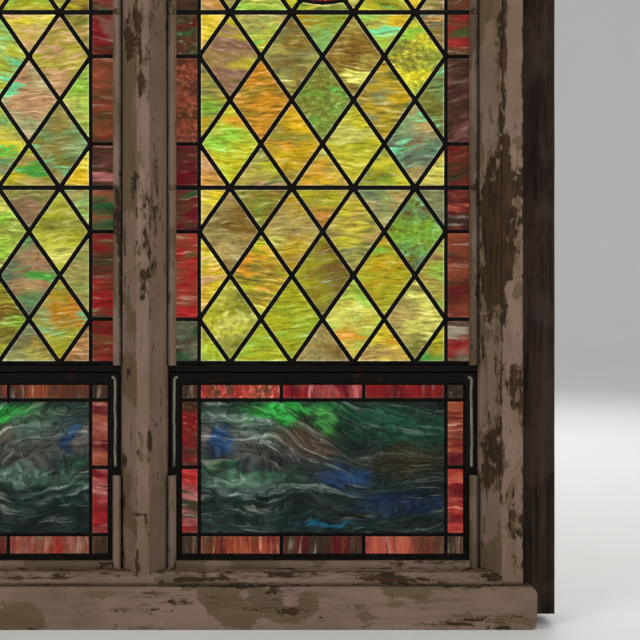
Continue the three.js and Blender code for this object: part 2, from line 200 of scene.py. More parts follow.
class Finish(Nodes):
    """A Principled material and the nodes that feed it."""

    def __init__(self, name, **plain):
        self.material = bpy.data.materials.new(name)
        self.material.use_nodes = True
        super().__init__(self.material.node_tree)
        self.shader = self.tree.nodes["Principled BSDF"]
        self.feed(**plain)

    def object_place(self):
        return self.node("ShaderNodeTexCoord", output="Object")

    def uv(self, name):
        return self.node("ShaderNodeUVMap", {"uv_map": name})

    def attribute(self, name, output="Fac"):
        return self.node("ShaderNodeAttribute", {"attribute_name": name}, output=output)

    def stretched(self, vector, factors):
        return self.node("ShaderNodeVectorMath", {"operation": "MULTIPLY"}, {0: vector, 1: factors})

    def moved(self, vector, offset):
        return self.node("ShaderNodeVectorMath", {"operation": "ADD"}, {0: vector, 1: offset})

    def combined(self, x, y, z):
        return self.node("ShaderNodeCombineXYZ", sockets={0: x, 1: y, 2: z})

    def clouds(self, vector, scale, detail=4.0, roughness=0.55, distortion=0.0):
        return self.node("ShaderNodeTexNoise", {"noise_dimensions": "3D"}, {
            "Vector": vector, "Scale": scale, "Detail": detail,
            "Roughness": roughness, "Distortion": distortion})

    def drawn(self, vector, factors, detail, roughness):
        """Clouds drawn out along the sheet, with so many across each metre of it."""
        return self.clouds(self.stretched(vector, factors), 1.0, detail, roughness)

    def blend(self, share, first, second):
        settings = {"data_type": "RGBA", "clamp_factor": True}
        return self.node("ShaderNodeMix", settings, {0: share, 6: first, 7: second}, output=2)

    def bump(self, height, strength, distance):
        sockets = {"Height": height, "Strength": strength, "Distance": distance}
        return self.node("ShaderNodeBump", sockets=sockets)

    def feed(self, **signals):
        for socket, value in signals.items():
            plug(self.tree, self.shader.inputs[socket.replace("_", " ")], value)
        return self.material


# Finishes
def paint_finish(name, grain):
    """Taupe paint over an olive coat, flaked off to dark wood where the mesh says so."""
    finish = Finish(name, Specular_IOR_Level=0.16)
    place = finish.object_place()

    def drawn_out(vector, power):
        return finish.stretched(vector, tuple(value ** power for value in grain))

    along = drawn_out(place, 1)
    fine = finish.clouds(along, 260, 5, 0.6)
    crumbs = finish.clouds(place, 170, 4, 0.6)
    patchy = finish.clouds(place, 7, 4, 0.6)
    streaky = finish.clouds(along, 60, 5, 0.65)
    jitter = (crumbs - 0.5) * 0.010
    torn = finish.moved(place, finish.combined(jitter, jitter, jitter))
    flake = finish.attribute("flake") + (fine - 0.5) * 0.14 + (crumbs - 0.5) * 0.16
    for scale, amount in ((75, 0.42), (190, 0.24)):
        sockets = {"Vector": drawn_out(torn, 0.6), "Scale": scale}
        plate = finish.node("ShaderNodeTexVoronoi", sockets=sockets, output="Color")
        plate = finish.node("ShaderNodeSeparateColor", sockets={0: plate})
        flake = flake + (plate - 0.5) * amount
    chips = finish.clouds(drawn_out(place, 0.4), 135, 3, 0.6)
    flake = flake + finish.attribute("arris") * ((chips - 0.5) * 3.4 + 0.22)
    bare = flake.above(-0.012, 0.012)
    worn = (flake + (streaky - 0.5) * 0.3).above(-0.2, -0.17)
    old_patch = (finish.attribute("coat") + (streaky - 0.5) * 0.3 + (crumbs - 0.5) * 0.12).above(0.08, 0.11)

    taupe = finish.blend(patchy.above(0.35, 0.65), colour(114, 94, 78), colour(128, 106, 92))
    scuffs = finish.clouds(drawn_out(place, 0.3), 26, 6, 0.7)
    taupe = finish.blend(scuffs.above(0.53, 0.66) * 0.35, taupe, colour(88, 71, 56))
    taupe = finish.blend(streaky.above(0.45, 0.75) * 0.6, taupe, colour(98, 80, 64))
    olive = finish.blend(streaky.above(0.3, 0.7), colour(80, 64, 43), colour(100, 83, 60))
    coat = finish.blend((worn * 0.9).math("MAXIMUM", old_patch * 0.85), taupe, olive)
    spots = finish.clouds(place, 240, 3, 0.6).above(0.66, 0.74)
    coat = finish.blend(spots * 0.35, coat, colour(60, 45, 33))
    # Painted highlight: a pale line along the edge of the paint film round each flaked patch
    painted_film_highlight = (1 - bare) * flake.above(-0.06, -0.01)
    coat = finish.blend(painted_film_highlight * 0.25, coat, colour(140, 121, 104))
    vein = (finish.clouds(drawn_out(torn, 1.2), 42, 3, 0.5) - 0.5).math("ABSOLUTE")
    cracks = (1 - vein.above(0.002, 0.007)) * patchy.above(0.52, 0.58)
    coat = finish.blend(cracks * 0.85, coat, colour(34, 24, 16))

    wood_lines = finish.clouds(along, 150, 6, 0.7)
    wood = finish.blend(wood_lines.above(0.35, 0.68), colour(40, 26, 14), colour(74, 52, 31))
    wood = finish.blend(patchy.above(0.4, 0.7) * 0.4, wood, colour(54, 42, 29))
    # Painted shadow: dark wood just under the edge of the paint film
    painted_film_shadow = bare * (1 - flake.above(0.0, 0.04))
    wood = finish.blend(painted_film_shadow * 0.75, wood, colour(24, 14, 8))
    base = finish.blend(bare, coat, wood)
    # Painted shade with some dirt: darker in the corners beside the beads and under the sill strip's edge
    grime = finish.attribute("grime") * (0.55 + streaky * 0.9)
    base = finish.blend(grime, base, colour(30, 21, 15))
    height = (1 - bare) * 0.7 + (1 - worn) * 0.22 + wood_lines * bare * 0.5 + fine * 0.1
    return finish.feed(
        Base_Color=base,
        Roughness=0.55 + bare * 0.3 + (patchy - 0.5) * 0.2,
        Normal=finish.bump(height, 0.7, 0.0012))


def raw_timber_finish():
    finish = Finish("raw dark timber", Specular_IOR_Level=0.12)
    place = finish.object_place()
    along = finish.stretched(place, (1.0, 1.0, 0.06))
    grain = finish.clouds(along, 95, 7, 0.68, 0.4)
    saw = finish.clouds(finish.stretched(place, (1.0, 1.0, 9.0)), 24, 3, 0.6)
    broad = finish.clouds(finish.stretched(place, (1.0, 1.0, 0.5)), 20, 6, 0.65)
    tone = finish.blend(grain.above(0.32, 0.7), colour(20, 13, 9), colour(56, 41, 32))
    tone = finish.blend(broad.above(0.46, 0.62) * 0.65, tone, colour(60, 48, 42))
    tone = finish.blend(saw.above(0.6, 0.75) * 0.3, tone, colour(58, 46, 39))
    return finish.feed(
        Base_Color=tone,
        Roughness=0.8 + grain * 0.15,
        Normal=finish.bump(grain + saw * 0.4, 0.6, 0.0015))


def lead_finish():
    finish = Finish("blackened lead", Metallic=0.1, Specular_IOR_Level=0.08)
    place = finish.object_place()
    dull = finish.clouds(place, 60, 4, 0.6)
    scratch = finish.clouds(place, 700, 3, 0.6)
    tone = finish.blend(dull.above(0.4, 0.75), colour(7, 5, 4), colour(22, 19, 17))
    return finish.feed(Base_Color=tone, Roughness=0.5 + dull * 0.3, Normal=finish.bump(scratch, 0.25, 0.0004))


def steel_finish():
    finish = Finish("black steel", Metallic=0.1, Specular_IOR_Level=0.1)
    place = finish.object_place()
    rust = finish.clouds(place, 45, 5, 0.65)
    pitting = finish.clouds(place, 520, 3, 0.6)
    tone = finish.blend(rust.above(0.58, 0.72), colour(10, 7, 5), colour(40, 24, 15))
    return finish.feed(
        Base_Color=tone,
        Roughness=0.55 + rust.above(0.5, 0.7) * 0.3,
        Normal=finish.bump(pitting, 0.3, 0.0005))


def zinc_finish():
    finish = Finish("weathered zinc strip", Metallic=0.3, Specular_IOR_Level=0.3)
    place = finish.object_place()
    dull = finish.clouds(finish.stretched(place, (1.0, 1.0, 0.2)), 120, 4, 0.6)
    tone = finish.blend(dull.above(0.35, 0.7), colour(132, 130, 112), colour(84, 80, 68))
    return finish.feed(Base_Color=tone, Roughness=0.5 + dull * 0.25, Normal=finish.bump(dull, 0.2, 0.0005))


def glass_finish(name, band, streak, contrast, ripple, halo, folds=0.0):
    """Streaky opalescent glass that glows by emission, as painted daylight from behind: three tones of each
    piece run along its sheet.

    band and streak are how often broad bands and fine streaks come along and across the sheet.
    """
    finish = Finish(name, IOR=1.5, Emission_Strength=1.0, Specular_IOR_Level=0.12)
    sheet = finish.moved(finish.uv("sheet"), finish.attribute("lot", "Vector"))
    drift = finish.drawn(sheet, (14.0, 22.0, 1.0), 2, 0.5)
    curl = finish.drawn(sheet, (34.0, 60.0, 1.0), 2, 0.5)
    sway = (drift - 0.5) * 0.018 + (curl - 0.5) * 0.009 * (1 - folds)
    wave = finish.moved(sheet, finish.combined(0.0, sway, 0.0))
    bands = finish.drawn(wave, band, 3, 0.55)
    flashes = finish.drawn(finish.moved(wave, (3.1, 7.7, 0.0)), band, 2, 0.5)
    streaks = finish.drawn(wave, streak, 2, 0.55)
    threads = finish.drawn(wave, (streak[0] * 1.8, streak[1] * 2.3, 1.0), 2, 0.6)
    mottle = finish.clouds(sheet, 150, 2, 0.6)
    crackle = finish.drawn(sheet, (105.0, 140.0, 1.0), 3, 0.62)
    cut = finish.node("ShaderNodeSeparateXYZ", sockets={0: finish.attribute("lot", "Vector")}, output=2)
    crackled = cut.above(CRACKLED_FROM, CRACKLED_FROM + 0.1)
    streaks = streaks * (1 - crackled) + crackle * crackled

    first = finish.attribute("tone_a", "Color")
    second = finish.attribute("tone_b", "Color")
    third = finish.attribute("tone_c", "Color")
    haze = finish.drawn(finish.moved(wave, (9.4, 2.3, 0.0)), (17.0, 26.0, 1.0), 4, 0.62)
    tone = finish.blend((bands + (streaks - 0.5) * 0.3).above(0.36, 0.64), first, second)
    tone = finish.blend(haze.above(0.40, 0.72) * (0.5 - 0.45 * folds), tone, third)
    tone = finish.blend((flashes + (streaks - 0.5) * 0.3).above(0.58, 0.70), tone, third)
    light = 0.66 + ((streaks - 0.5) * 1.5 + (threads - 0.5) * 0.8 + (mottle - 0.5) * 0.45) * contrast
    light = light.math("MAXIMUM", 0.12) * finish.attribute("daylight")
    if folds:
        across = finish.node("ShaderNodeSeparateXYZ", sockets={0: wave}, output=1)
        fold = (across * 46 + drift * 5 + curl * 3 + streaks * 1.2).math("FRACT")
        fold = fold * (1 - fold.above(0.86, 1.0))
        light = light * ((1 - folds) + fold * 2 * folds)
    # Painted highlight: a bright rim of daylight beside the leads
    rim = finish.attribute("rim").above(0.40, 0.66) * halo
    pale = (streaks + (threads - 0.5) * 0.4).above(0.58, 0.76) * (0.38 - 0.3 * folds) + rim * 0.5
    tone = finish.blend(pale, tone, finish.blend(0.45, tone, (1.0, 0.98, 0.78, 1.0)))
    light = light + rim * finish.attribute("daylight") * 0.22
    # Painted light: the glass glows by emission in place of daylight from behind
    painted_glow = finish.node("ShaderNodeVectorMath", {"operation": "SCALE"}, {0: tone, "Scale": light})
    body = finish.node("ShaderNodeVectorMath", {"operation": "SCALE"}, {0: tone, "Scale": 0.12})
    height = streaks * 0.6 + threads * 0.25 + mottle * 0.3
    return finish.feed(
        Base_Color=body, Emission_Color=painted_glow, Roughness=0.2 + threads * 0.1,
        Normal=finish.bump(height, ripple, 0.0012))


def stage_finish():
    finish = Finish("pale studio floor")
    drift = finish.clouds(finish.object_place(), 3, 2, 0.5)
    tone = finish.blend(drift, (0.76, 0.755, 0.74, 1), (0.8, 0.795, 0.78, 1))
    return finish.feed(Base_Color=tone, Roughness=0.85)


UPRIGHT_GRAIN = (1.0, 1.0, 0.12)
LEVEL_GRAIN = (0.12, 1.0, 1.0)
PAINT_UPRIGHT = paint_finish("flaking paint on uprights", UPRIGHT_GRAIN)
PAINT_LEVEL = paint_finish("flaking paint on rails", LEVEL_GRAIN)
RAW_TIMBER = raw_timber_finish()
LEAD = lead_finish()
STEEL = steel_finish()
ZINC = zinc_finish()
FIELD_GLASS = glass_finish(
    "streaky amber and green glass",
    band=(8.0, 22.0, 1.0), streak=(30.0, 190.0, 1.0), contrast=1.1, ripple=0.5, halo=0.9)
BORDER_GLASS = glass_finish(
    "streaky ruby and green glass",
    band=(6.0, 32.0, 1.0), streak=(16.0, 120.0, 1.0), contrast=1.0, ripple=0.5, halo=0.15)
PANE_GLASS = glass_finish(
    "dark blue-green drapery glass",
    band=(6.0, 40.0, 1.0), streak=(13.0, 130.0, 1.0), contrast=0.95, ripple=0.6, halo=0.0, folds=0.62)


# Pieces
def finished_object(name, mesh, material, body, replaces=()):
    for polygon in mesh.polygons:
        polygon.material_index = 0
    mesh.materials.clear()
    mesh.materials.append(material)
    piece = bpy.data.objects.new(name, mesh)
    bpy.context.scene.collection.objects.link(piece)
    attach(piece, body)
    if replaces:
        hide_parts(*replaces)


def between(start, end, share):
    return tuple(a + (b - a) * share for a, b in zip(start, end))


def clip(points, nx, nz, limit):
    """The part of an outline on the side of a line where nx * x + nz * z is under the limit."""
    kept = []
    for i, point in enumerate(points):
        following = points[(i + 1) % len(points)]
        here = nx * point[0] + nz * point[1] - limit
        there = nx * following[0] + nz * following[1] - limit
        if here <= 0:
            kept.append(point)
        if here * there < 0:
            kept.append(between(point, following, here / (here - there)))
    return kept


def rectangle(x0, z0, x1, z1):
    return [(x0, z0), (x1, z0), (x1, z1), (x0, z1)]


def without_doubles(outline, reach=0.0008):
    return [point for i, point in enumerate(outline) if math.dist(point, outline[i - 1]) > reach]


def diamond_cells(centre_x, bottom_z, inset):
    """Outlines of the field's pieces of one section, each shrunk by the inset."""
    slope = math.hypot(1 / DIAMOND_W, 1 / DIAMOND_H)
    reach = 0.5 / slope - inset
    nx, nz = 1 / DIAMOND_W / slope, 1 / DIAMOND_H / slope
    cells = []
    for row in range(2 * UP + 1):
        for column in range(row % 2, 2 * ACROSS + 1, 2):
            x = centre_x + (column / 2 - ACROSS / 2) * DIAMOND_W
            z = bottom_z + row / 2 * DIAMOND_H
            cell = rectangle(centre_x - FIELD_W / 2 + inset, bottom_z + inset,
                             centre_x + FIELD_W / 2 - inset, bottom_z + SECTION_H - inset)
            for a, b in ((nx, nz), (-nx, nz), (-nx, -nz), (nx, -nz)):
                cell = clip(cell, a, b, a * x + b * z + reach)
            cell = without_doubles(cell)
            if len(cell) > 2:
                cells.append(cell)
    return cells


def pick(rng, *choices):
    """One of the choices, each a weight and a colour."""
    return rng.choices([tone for _, tone in choices], [weight for weight, _ in choices])[0]


CITRON = colour(206, 206, 40)
YELLOW = colour(238, 224, 44)
LEMON = colour(226, 224, 104)
GOLD = colour(226, 184, 24)
AMBER = colour(224, 152, 34)
TAN = colour(198, 172, 98)
PEACH = colour(214, 164, 114)
MAUVE = colour(168, 124, 98)
OLIVE = colour(142, 140, 54)
SAGE = colour(156, 158, 98)
MOSS = colour(104, 110, 38)
SLATE = colour(110, 122, 100)
BRONZE = colour(138, 104, 38)
LIME = colour(156, 206, 64)
GREEN = colour(92, 184, 70)
MINT = colour(120, 224, 156)
RUBY = colour(196, 42, 44)
CRIMSON = colour(120, 20, 32)
SALMON = colour(214, 104, 80)
PINK = colour(222, 136, 130)
CREAM = colour(214, 196, 168)
LEAF = colour(54, 104, 56)
UMBER = colour(104, 66, 44)
SMOKE = colour(70, 58, 42)
TERRACOTTA = colour(184, 92, 58)


def field_tones(rng):
    first = pick(rng, (5, CITRON), (4, GOLD), (4, OLIVE), (3, TAN), (3, SAGE), (2, LEMON), (3, YELLOW),
                 (1, PEACH), (2, BRONZE))
    second = pick(rng, (4, CITRON), (3, OLIVE), (3, GOLD), (2, TAN), (2, LIME), (2, MOSS), (2, PEACH),
                  (2, AMBER), (1, MAUVE), (2, YELLOW), (2, SLATE), (2, BRONZE))
    third = pick(rng, (3, MINT), (3, GREEN), (3, LIME), (3, AMBER), (2, PEACH), (3, LEMON), (2, SAGE),
                 (1, MAUVE))
    return first, second, third, rng.uniform(0.72, 1.22), rng.choice((0, 0, 0, 0, 0.07, -0.07, 0.16, -0.2))


def border_tones(rng, sun=1.0):
    first = pick(rng, (5, RUBY), (3, CRIMSON), (3, TERRACOTTA), (4, UMBER), (1, SALMON), (1, SMOKE))
    second = pick(rng, (3, UMBER), (4, SMOKE), (3, TERRACOTTA), (2, RUBY), (2, LEAF), (1, PINK), (3, CRIMSON))
    third = pick(rng, (3, LEAF), (2, SALMON), (1, CREAM), (3, UMBER), (2, CRIMSON), (2, SMOKE), (2, PINK))
    return first, second, third, sun * rng.uniform(0.34, 0.86), rng.choice((0, 0, 0.12, -0.15, 0.3))


# How much brighter the sun makes the left border of a light, and darker the right one
SUN_FALL = 0.2
# Where the side borders are cut, as shares of a section's height
BORDER_SHARES = (0, 0.25, 0.75, 1)


class Glazing:
    """Pieces of glass of one panel, cut from streaky sheets and gridded for their ripple."""

    RIPPLE = 0.00035
    RIM = 0.009

    def __init__(self, front, back, grid=0.009, lot=None):
        self.front = front
        self.back = back
        self.grid = grid
        self.lot = lot
        self.outlines = []

    def add(self, outline, tones, flow=None):
        self.outlines.append((without_doubles(outline), tones, flow))

    def mesh(self, name, rng):
        sheet = bmesh.new()
        number = sheet.faces.layers.int.new("piece")
        rim = sheet.verts.layers.float.new("rim")
        for index, (outline, _, _) in enumerate(self.outlines):
            verts = [sheet.verts.new((x, self.back, z)) for x, z in outline]
            for vert in verts:
                vert[rim] = 1.0
            face = sheet.faces.new(verts)
            face[number] = index
            face.normal_update()
            if face.normal.y > 0:
                face.normal_flip()
            self.inner_edge(sheet, face, rim)
        self.cut(sheet)
        flat = list(sheet.faces)
        raised = bmesh.ops.extrude_face_region(sheet, geom=flat, use_keep_orig=True)["geom"]
        front_verts = [item for item in raised if isinstance(item, bmesh.types.BMVert)]
        for vert in front_verts:
            ripple = rugged(Vector((vert.co.x * 18, 0.0, vert.co.z * 60)))
            vert.co.y = self.front + self.RIPPLE * ripple
        bmesh.ops.recalc_face_normals(sheet, faces=list(sheet.faces))
        result = mesh_of(sheet, name)
        self.write(result, rng)
        return result

    def inner_edge(self, sheet, face, rim):
        """Marks the painted bright rim of daylight beside the leads."""
        if face.calc_area() < 12 * self.RIM * self.RIM:
            for vert in face.verts:
                vert[rim] = 0.0
            return
        bmesh.ops.inset_individual(sheet, faces=[face], thickness=self.RIM, use_even_offset=True)
        for vert in face.verts:
            vert[rim] = 0.0

    def cut(self, sheet):
        for axis in (0, 2):
            values = [vert.co[axis] for vert in sheet.verts]
            start = min(values)
            normal = axis_vector(axis)
            for i in range(1, int((max(values) - start) / self.grid)):
                bmesh.ops.bisect_plane(
                    sheet, geom=[*sheet.verts, *sheet.edges, *sheet.faces], dist=1e-5,
                    plane_co=normal * (start + i * self.grid), plane_no=normal)

    def write(self, mesh, rng):
        numbers = [item.value for item in mesh.attributes["piece"].data]
        mesh.attributes.remove(mesh.attributes["piece"])
        sheets = [self.lot or [rng.uniform(0, SHEET_LOTS) for _ in range(3)] for _ in self.outlines]
        layers = {"tone_a": ("FLOAT_COLOR", "color"), "tone_b": ("FLOAT_COLOR", "color"),
                  "tone_c": ("FLOAT_COLOR", "color"), "lot": ("FLOAT_VECTOR", "vector"),
                  "daylight": ("FLOAT", "value")}
        values = {name: [] for name in ("sheet", *layers)}
        for polygon in mesh.polygons:
            index = numbers[polygon.index]
            _, tones, flow = self.outlines[index]
            for corner in polygon.loop_indices:
                place = mesh.vertices[mesh.loops[corner].vertex_index].co
                first, second, third, light, turn = tones(place.x, place.z) if callable(tones) else tones
                if flow is None:
                    cos, sin = math.cos(turn), math.sin(turn)
                    values["sheet"] += (place.x * cos + place.z * sin, place.z * cos - place.x * sin)
                else:
                    values["sheet"] += flow(place.x, place.z)
                values["tone_a"] += first
                values["tone_b"] += second
                values["tone_c"] += third
                values["lot"] += sheets[index]
                values["daylight"].append(light)
        mesh.uv_layers.new(name="sheet")
        mesh.uv_layers["sheet"].data.foreach_set("uv", values["sheet"])
        for name, (kind, field) in layers.items():
            mesh.attributes.new(name, kind, "CORNER")
            mesh.attributes[name].data.foreach_set(field, values[name])


def upright_strip(x0, z0, x1, z1, shares, gap):
    """Outlines of a strip's pieces, cut at shares of its height."""
    return [rectangle(x0, z0 + low * (z1 - z0) + gap, x1, z0 + high * (z1 - z0) - gap)
            for low, high in zip(shares, shares[1:])]


def outside_circle(outline, x, z, radius):
    """An outline with its part inside a circle pushed out to the circle, or nothing if it is all inside."""
    points = fine(outline)
    reaches = [math.dist(point, (x, z)) for point in points]
    if min(reaches) >= radius:
        return outline
    if sum(reach >= radius for reach in reaches) < 3:
        return None
    return [point if reach >= radius else between((x, z), point, radius / reach)
            for point, reach in zip(points, reaches)]


def fine(outline, step=0.006):
    """An outline with points added along its sides."""
    points = []
    for start, end in zip(outline, outline[1:] + outline[:1]):
        parts = max(1, int(math.dist(start, end) / step))
        points += [between(start, end, i / parts) for i in range(parts)]
    return points


def arc_points(x, z, radius, start, end, steps):
    angles = [start + (end - start) * i / steps for i in range(steps + 1)]
    return [(x + radius * math.cos(angle), z + radius * math.sin(angle)) for angle in angles]


# Leads: line work of each panel
class Cames:
    """Centre lines of one panel's leads, by the width of their faces."""

    def __init__(self):
        self.lines = {}

    def line(self, width, *points, bent=False):
        """A lead through the points. A bent one is soldered at its ends only."""
        self.lines.setdefault(width, []).append((points, bent))

    def frame(self, width, x0, z0, x1, z1):
        corners = rectangle(x0, z0, x1, z1)
        for start, end in zip(corners, corners[1:] + corners[:1]):
            self.line(width, start, end)


class Group(Nodes):
    """A Geometry Nodes group in the making, with the kind of each input given by name."""

    def __init__(self, name, result, **inputs):
        super().__init__(bpy.data.node_groups.new(name, "GeometryNodeTree"))
        for label, kind in inputs.items():
            self.tree.interface.new_socket(
                label.replace("_", " "), in_out="INPUT", socket_type=f"NodeSocket{kind}")
        self.tree.interface.new_socket(result, in_out="OUTPUT", socket_type="NodeSocketGeometry")
        self.start = self.tree.nodes.new("NodeGroupInput")

    def given(self, name):
        return Signal(self.tree, self.start.outputs[name])

    def wander(self, scale, reach, offset, detail=2.0):
        """Small shifts by noise, each noise value times the reach plus the offset."""
        clouds = self.node("ShaderNodeTexNoise", sockets={"Scale": scale, "Detail": detail}, output="Color")
        return self.node(
            "ShaderNodeVectorMath", {"operation": "MULTIPLY_ADD"}, {0: clouds, 1: reach, 2: offset})

    def random_vector(self, low, high):
        return self.node("FunctionNodeRandomValue", {"data_type": "FLOAT_VECTOR"},
                         {0: low, 1: high, "Seed": self.given("Seed")})

    def moved(self, shape, offset):
        return self.node("GeometryNodeSetPosition", sockets={"Geometry": shape, "Offset": offset})

    def swept(self, curve, profile):
        return self.node("GeometryNodeCurveToMesh", sockets={
            "Curve": curve, "Profile Curve": profile, "Fill Caps": True})

    def joined(self, *shapes):
        node = self.tree.nodes.new("GeometryNodeJoinGeometry")
        for shape in shapes:
            plug(self.tree, node.inputs[0], shape)
        return Signal(self.tree, node.outputs[0])

    def closed(self, shape, material):
        """The finished group, whose result is real geometry in one material."""
        real = self.node("GeometryNodeRealizeInstances", sockets={0: shape})
        dressed = self.node("GeometryNodeSetMaterial", sockets={"Geometry": real, "Material": material})
        end = self.tree.nodes.new("NodeGroupOutput")
        plug(self.tree, end.inputs[0], dressed)
        return self.tree


def came_group():
    """Sweeps a domed lead face along each line and drops solder on its joints."""
    group = Group("Lead face along lines", "Lead", Lines="Geometry", Face_Width="Float", Face_Height="Float",
                  Solder_Size="Float", Seed="Int")
    curves = group.node("GeometryNodeMeshToCurve", sockets={"Mesh": group.given("Lines")})
    lines = group.node("GeometryNodeResampleCurve", sockets={"Curve": curves, "Count": 7})
    wavy = group.moved(lines, group.wander(28.0, (0.0012, 0.0012, 0.0003), (-0.0006, -0.0006, -0.00015)))
    upright = group.node("GeometryNodeSetCurveNormal", {"mode": "Z_UP"}, {"Curve": wavy})
    arc = group.node(
        "GeometryNodeCurvePrimitiveCircle", {"mode": "RADIUS"}, {"Resolution": 12, "Radius": 0.5})
    size = group.node("ShaderNodeCombineXYZ", sockets={
        0: group.given("Face Width"), 1: group.given("Face Height"), 2: 1.0})
    face = group.node("GeometryNodeTransform", sockets={"Geometry": arc, "Scale": size})

    joints = group.node("GeometryNodeMergeByDistance", sockets={
        "Geometry": group.given("Lines"), "Distance": 0.003})
    soldered = group.node("GeometryNodeInputNamedAttribute", {"data_type": "INT"}, {"Name": "soldered"})
    spread = group.random_vector((0.8, 0.8, 0.34), (1.25, 1.25, 0.5))
    grown = group.node("ShaderNodeVectorMath", {"operation": "SCALE"}, {
        0: spread, "Scale": group.given("Solder Size")})
    blob = group.node("GeometryNodeMeshIcoSphere", sockets={"Subdivisions": 2, "Radius": 1.0})
    blobs = group.node("GeometryNodeInstanceOnPoints", sockets={
        "Points": joints, "Selection": soldered, "Instance": blob, "Scale": grown})
    return group.closed(group.joined(group.swept(upright, face), blobs), LEAD)


CAMES = came_group()


def evaluated_mesh(source, tree, inputs):
    """Plain mesh of a node tree run on a mesh, with its inputs set by name."""
    holder = bpy.data.objects.new("holder", source)
    bpy.context.scene.collection.objects.link(holder)
    modifier = holder.modifiers.new("Nodes", "NODES")
    modifier.node_group = tree
    for item in tree.interface.items_tree:
        if item.in_out == "INPUT" and item.name in inputs:
            modifier[item.identifier] = inputs[item.name]
    depsgraph = bpy.context.evaluated_depsgraph_get()
    depsgraph.update()
    made = bpy.data.meshes.new_from_object(holder.evaluated_get(depsgraph))
    bpy.data.objects.remove(holder)
    return made


def lead_mesh(name, cames, front, back, seed):
    """Both faces of a panel's lead. Lines are drawn flat and then stood up in the wall's plane."""
    whole = bmesh.new()
    for width, lines in cames.lines.items():
        flat = bmesh.new()
        soldered = flat.verts.layers.int.new("soldered")
        for points, bent in lines:
            last = len(points) - 1
            for i in range(last):
                ends = [flat.verts.new((*point, 0.0)) for point in points[i:i + 2]]
                flat.edges.new(ends)
                for vert, order in zip(ends, (i, i + 1)):
                    vert[soldered] = order in (0, last) or not bent
        source = mesh_of(flat, "lines")
        for level, facing in ((front, -1), (back, 1)):
            made = evaluated_mesh(source.copy(), CAMES, {
                "Face Width": width, "Face Height": LEAD_DOME, "Solder Size": SOLDER * width, "Seed": seed})
            made.transform(Matrix(((1, 0, 0, 0), (0, 0, facing, level), (0, 1, 0, 0), (0, 0, 0, 1))))
            if facing < 0:
                made.flip_normals()
            whole.from_mesh(made)
    bmesh.ops.recalc_face_normals(whole, faces=list(whole.faces))
    result = mesh_of(whole, name)
    result.shade_smooth()
    return result


def add_field_lines(cames, centre, bottom, hole=None):
    """Slanted leads of one section, each drawn from node to node, and left out inside a round hole."""
    seen = set()
    for cell in diamond_cells(centre, bottom, 0.0):
        for start, end in zip(cell, cell[1:] + cell[:1]):
            left_bevel_shade = all(abs(a - b) > 1e-6 for a, b in zip(start, end))
            key = tuple(round(middle(a, b), 4) for a, b in zip(start, end))
            if left_bevel_shade and key not in seen:
                seen.add(key)
                kept = outside_part(start, end, hole)
                if kept:
                    cames.line(DIAGONAL_LEAD, *kept)


def outside_part(start, end, hole):
    """The stretch of a line outside a circle given as x, z and radius."""
    if hole is None:
        return start, end
    x, z, radius = hole
    parts = 60
    points = [between(start, end, i / parts) for i in range(parts + 1)]
    kept = [point for point in points if math.dist(point, (x, z)) >= radius]
    return (kept[0], kept[-1]) if len(kept) > 2 else None


def fixed_panels(side, sign):
    rng = random.Random(31 + sign)
    for order, name in enumerate(PANELS):
        low, high = box_of(f"{side}_lead_{name}")
        glass_low, glass_high = box_of(f"{side}_glass_{name}")
        centre = middle(low.x, high.x)
        crown = order == len(PANELS) - 1
        bottom = low.z + (BAR_LEAD / 2 if order == 0 else 0.0)
        top = bottom + SECTION_H
        edge_x = (high.x - low.x) / 2 - EDGE_LEAD / 2
        field = Glazing(glass_low.y, glass_high.y)
        border = Glazing(glass_low.y, glass_high.y)
        cames = Cames()
        hole = (centre, middle(bottom, top), ROUNDEL_R) if crown else None

        for cell in diamond_cells(centre, bottom, HEART):
            outline = outside_circle(cell, hole[0], hole[1], ROUNDEL_R + HEART) if crown else cell
            if outline:
                field.add(outline, field_tones(rng))
        add_field_lines(cames, centre, bottom, hole)
        half = FIELD_W / 2
        heights = [bottom + share * SECTION_H for share in BORDER_SHARES]
        for edge in (-1, 1):
            inner, outer = centre + edge * half, centre + edge * edge_x
            x0, x1 = sorted((inner + edge * HEART, outer))
            for outline in upright_strip(x0, bottom + HEART, x1, top - HEART, BORDER_SHARES, HEART):
                border.add(outline, border_tones(rng, 1 - SUN_FALL * edge))
            cames.line(BORDER_LEAD, *[(inner, z) for z in heights])
            for z in heights[1:-1]:
                cames.line(BORDER_LEAD, (inner, z), (outer, z))
            cames.line(EDGE_LEAD, (outer, bottom), (outer, top))
        columns = [centre + (i / 2 - ACROSS / 2) * DIAMOND_W for i in range(1, 2 * ACROSS, 2)]
        ends = [centre - edge_x, centre - half, *columns, centre + half, centre + edge_x]
        cames.line(BAR_LEAD, *[(x, bottom) for x in ends])
        cames.line(BAR_LEAD, *[(x, top) for x in ends])
        if crown:
            crown_border(cames, border, centre, top, high.z - EDGE_LEAD / 2, edge_x, rng)
            roundel(cames, field, border, *hole, rng)
        finished_object(f"{side}_field_pieces_{name}", field.mesh(f"{side}_field_{name}", rng),
                        FIELD_GLASS, "frame", [f"{side}_glass_{name}"])
        finished_object(f"{side}_border_pieces_{name}", border.mesh(f"{side}_border_{name}", rng),
                        BORDER_GLASS, "frame")
        mesh = lead_mesh(f"{side}_cames_{name}", cames, low.y + LEAD_SET, high.y - LEAD_SET, order)
        finished_object(f"{side}_cames_{name}", mesh, LEAD, "frame", [f"{side}_lead_{name}"])


def border_columns(centre, edge_x):
    """Leads that cut a level border: two corners and three long pieces between them."""
    half = FIELD_W / 2
    return [centre + run for run in (-edge_x, -half, -half / 3, half / 3, half, edge_x)]


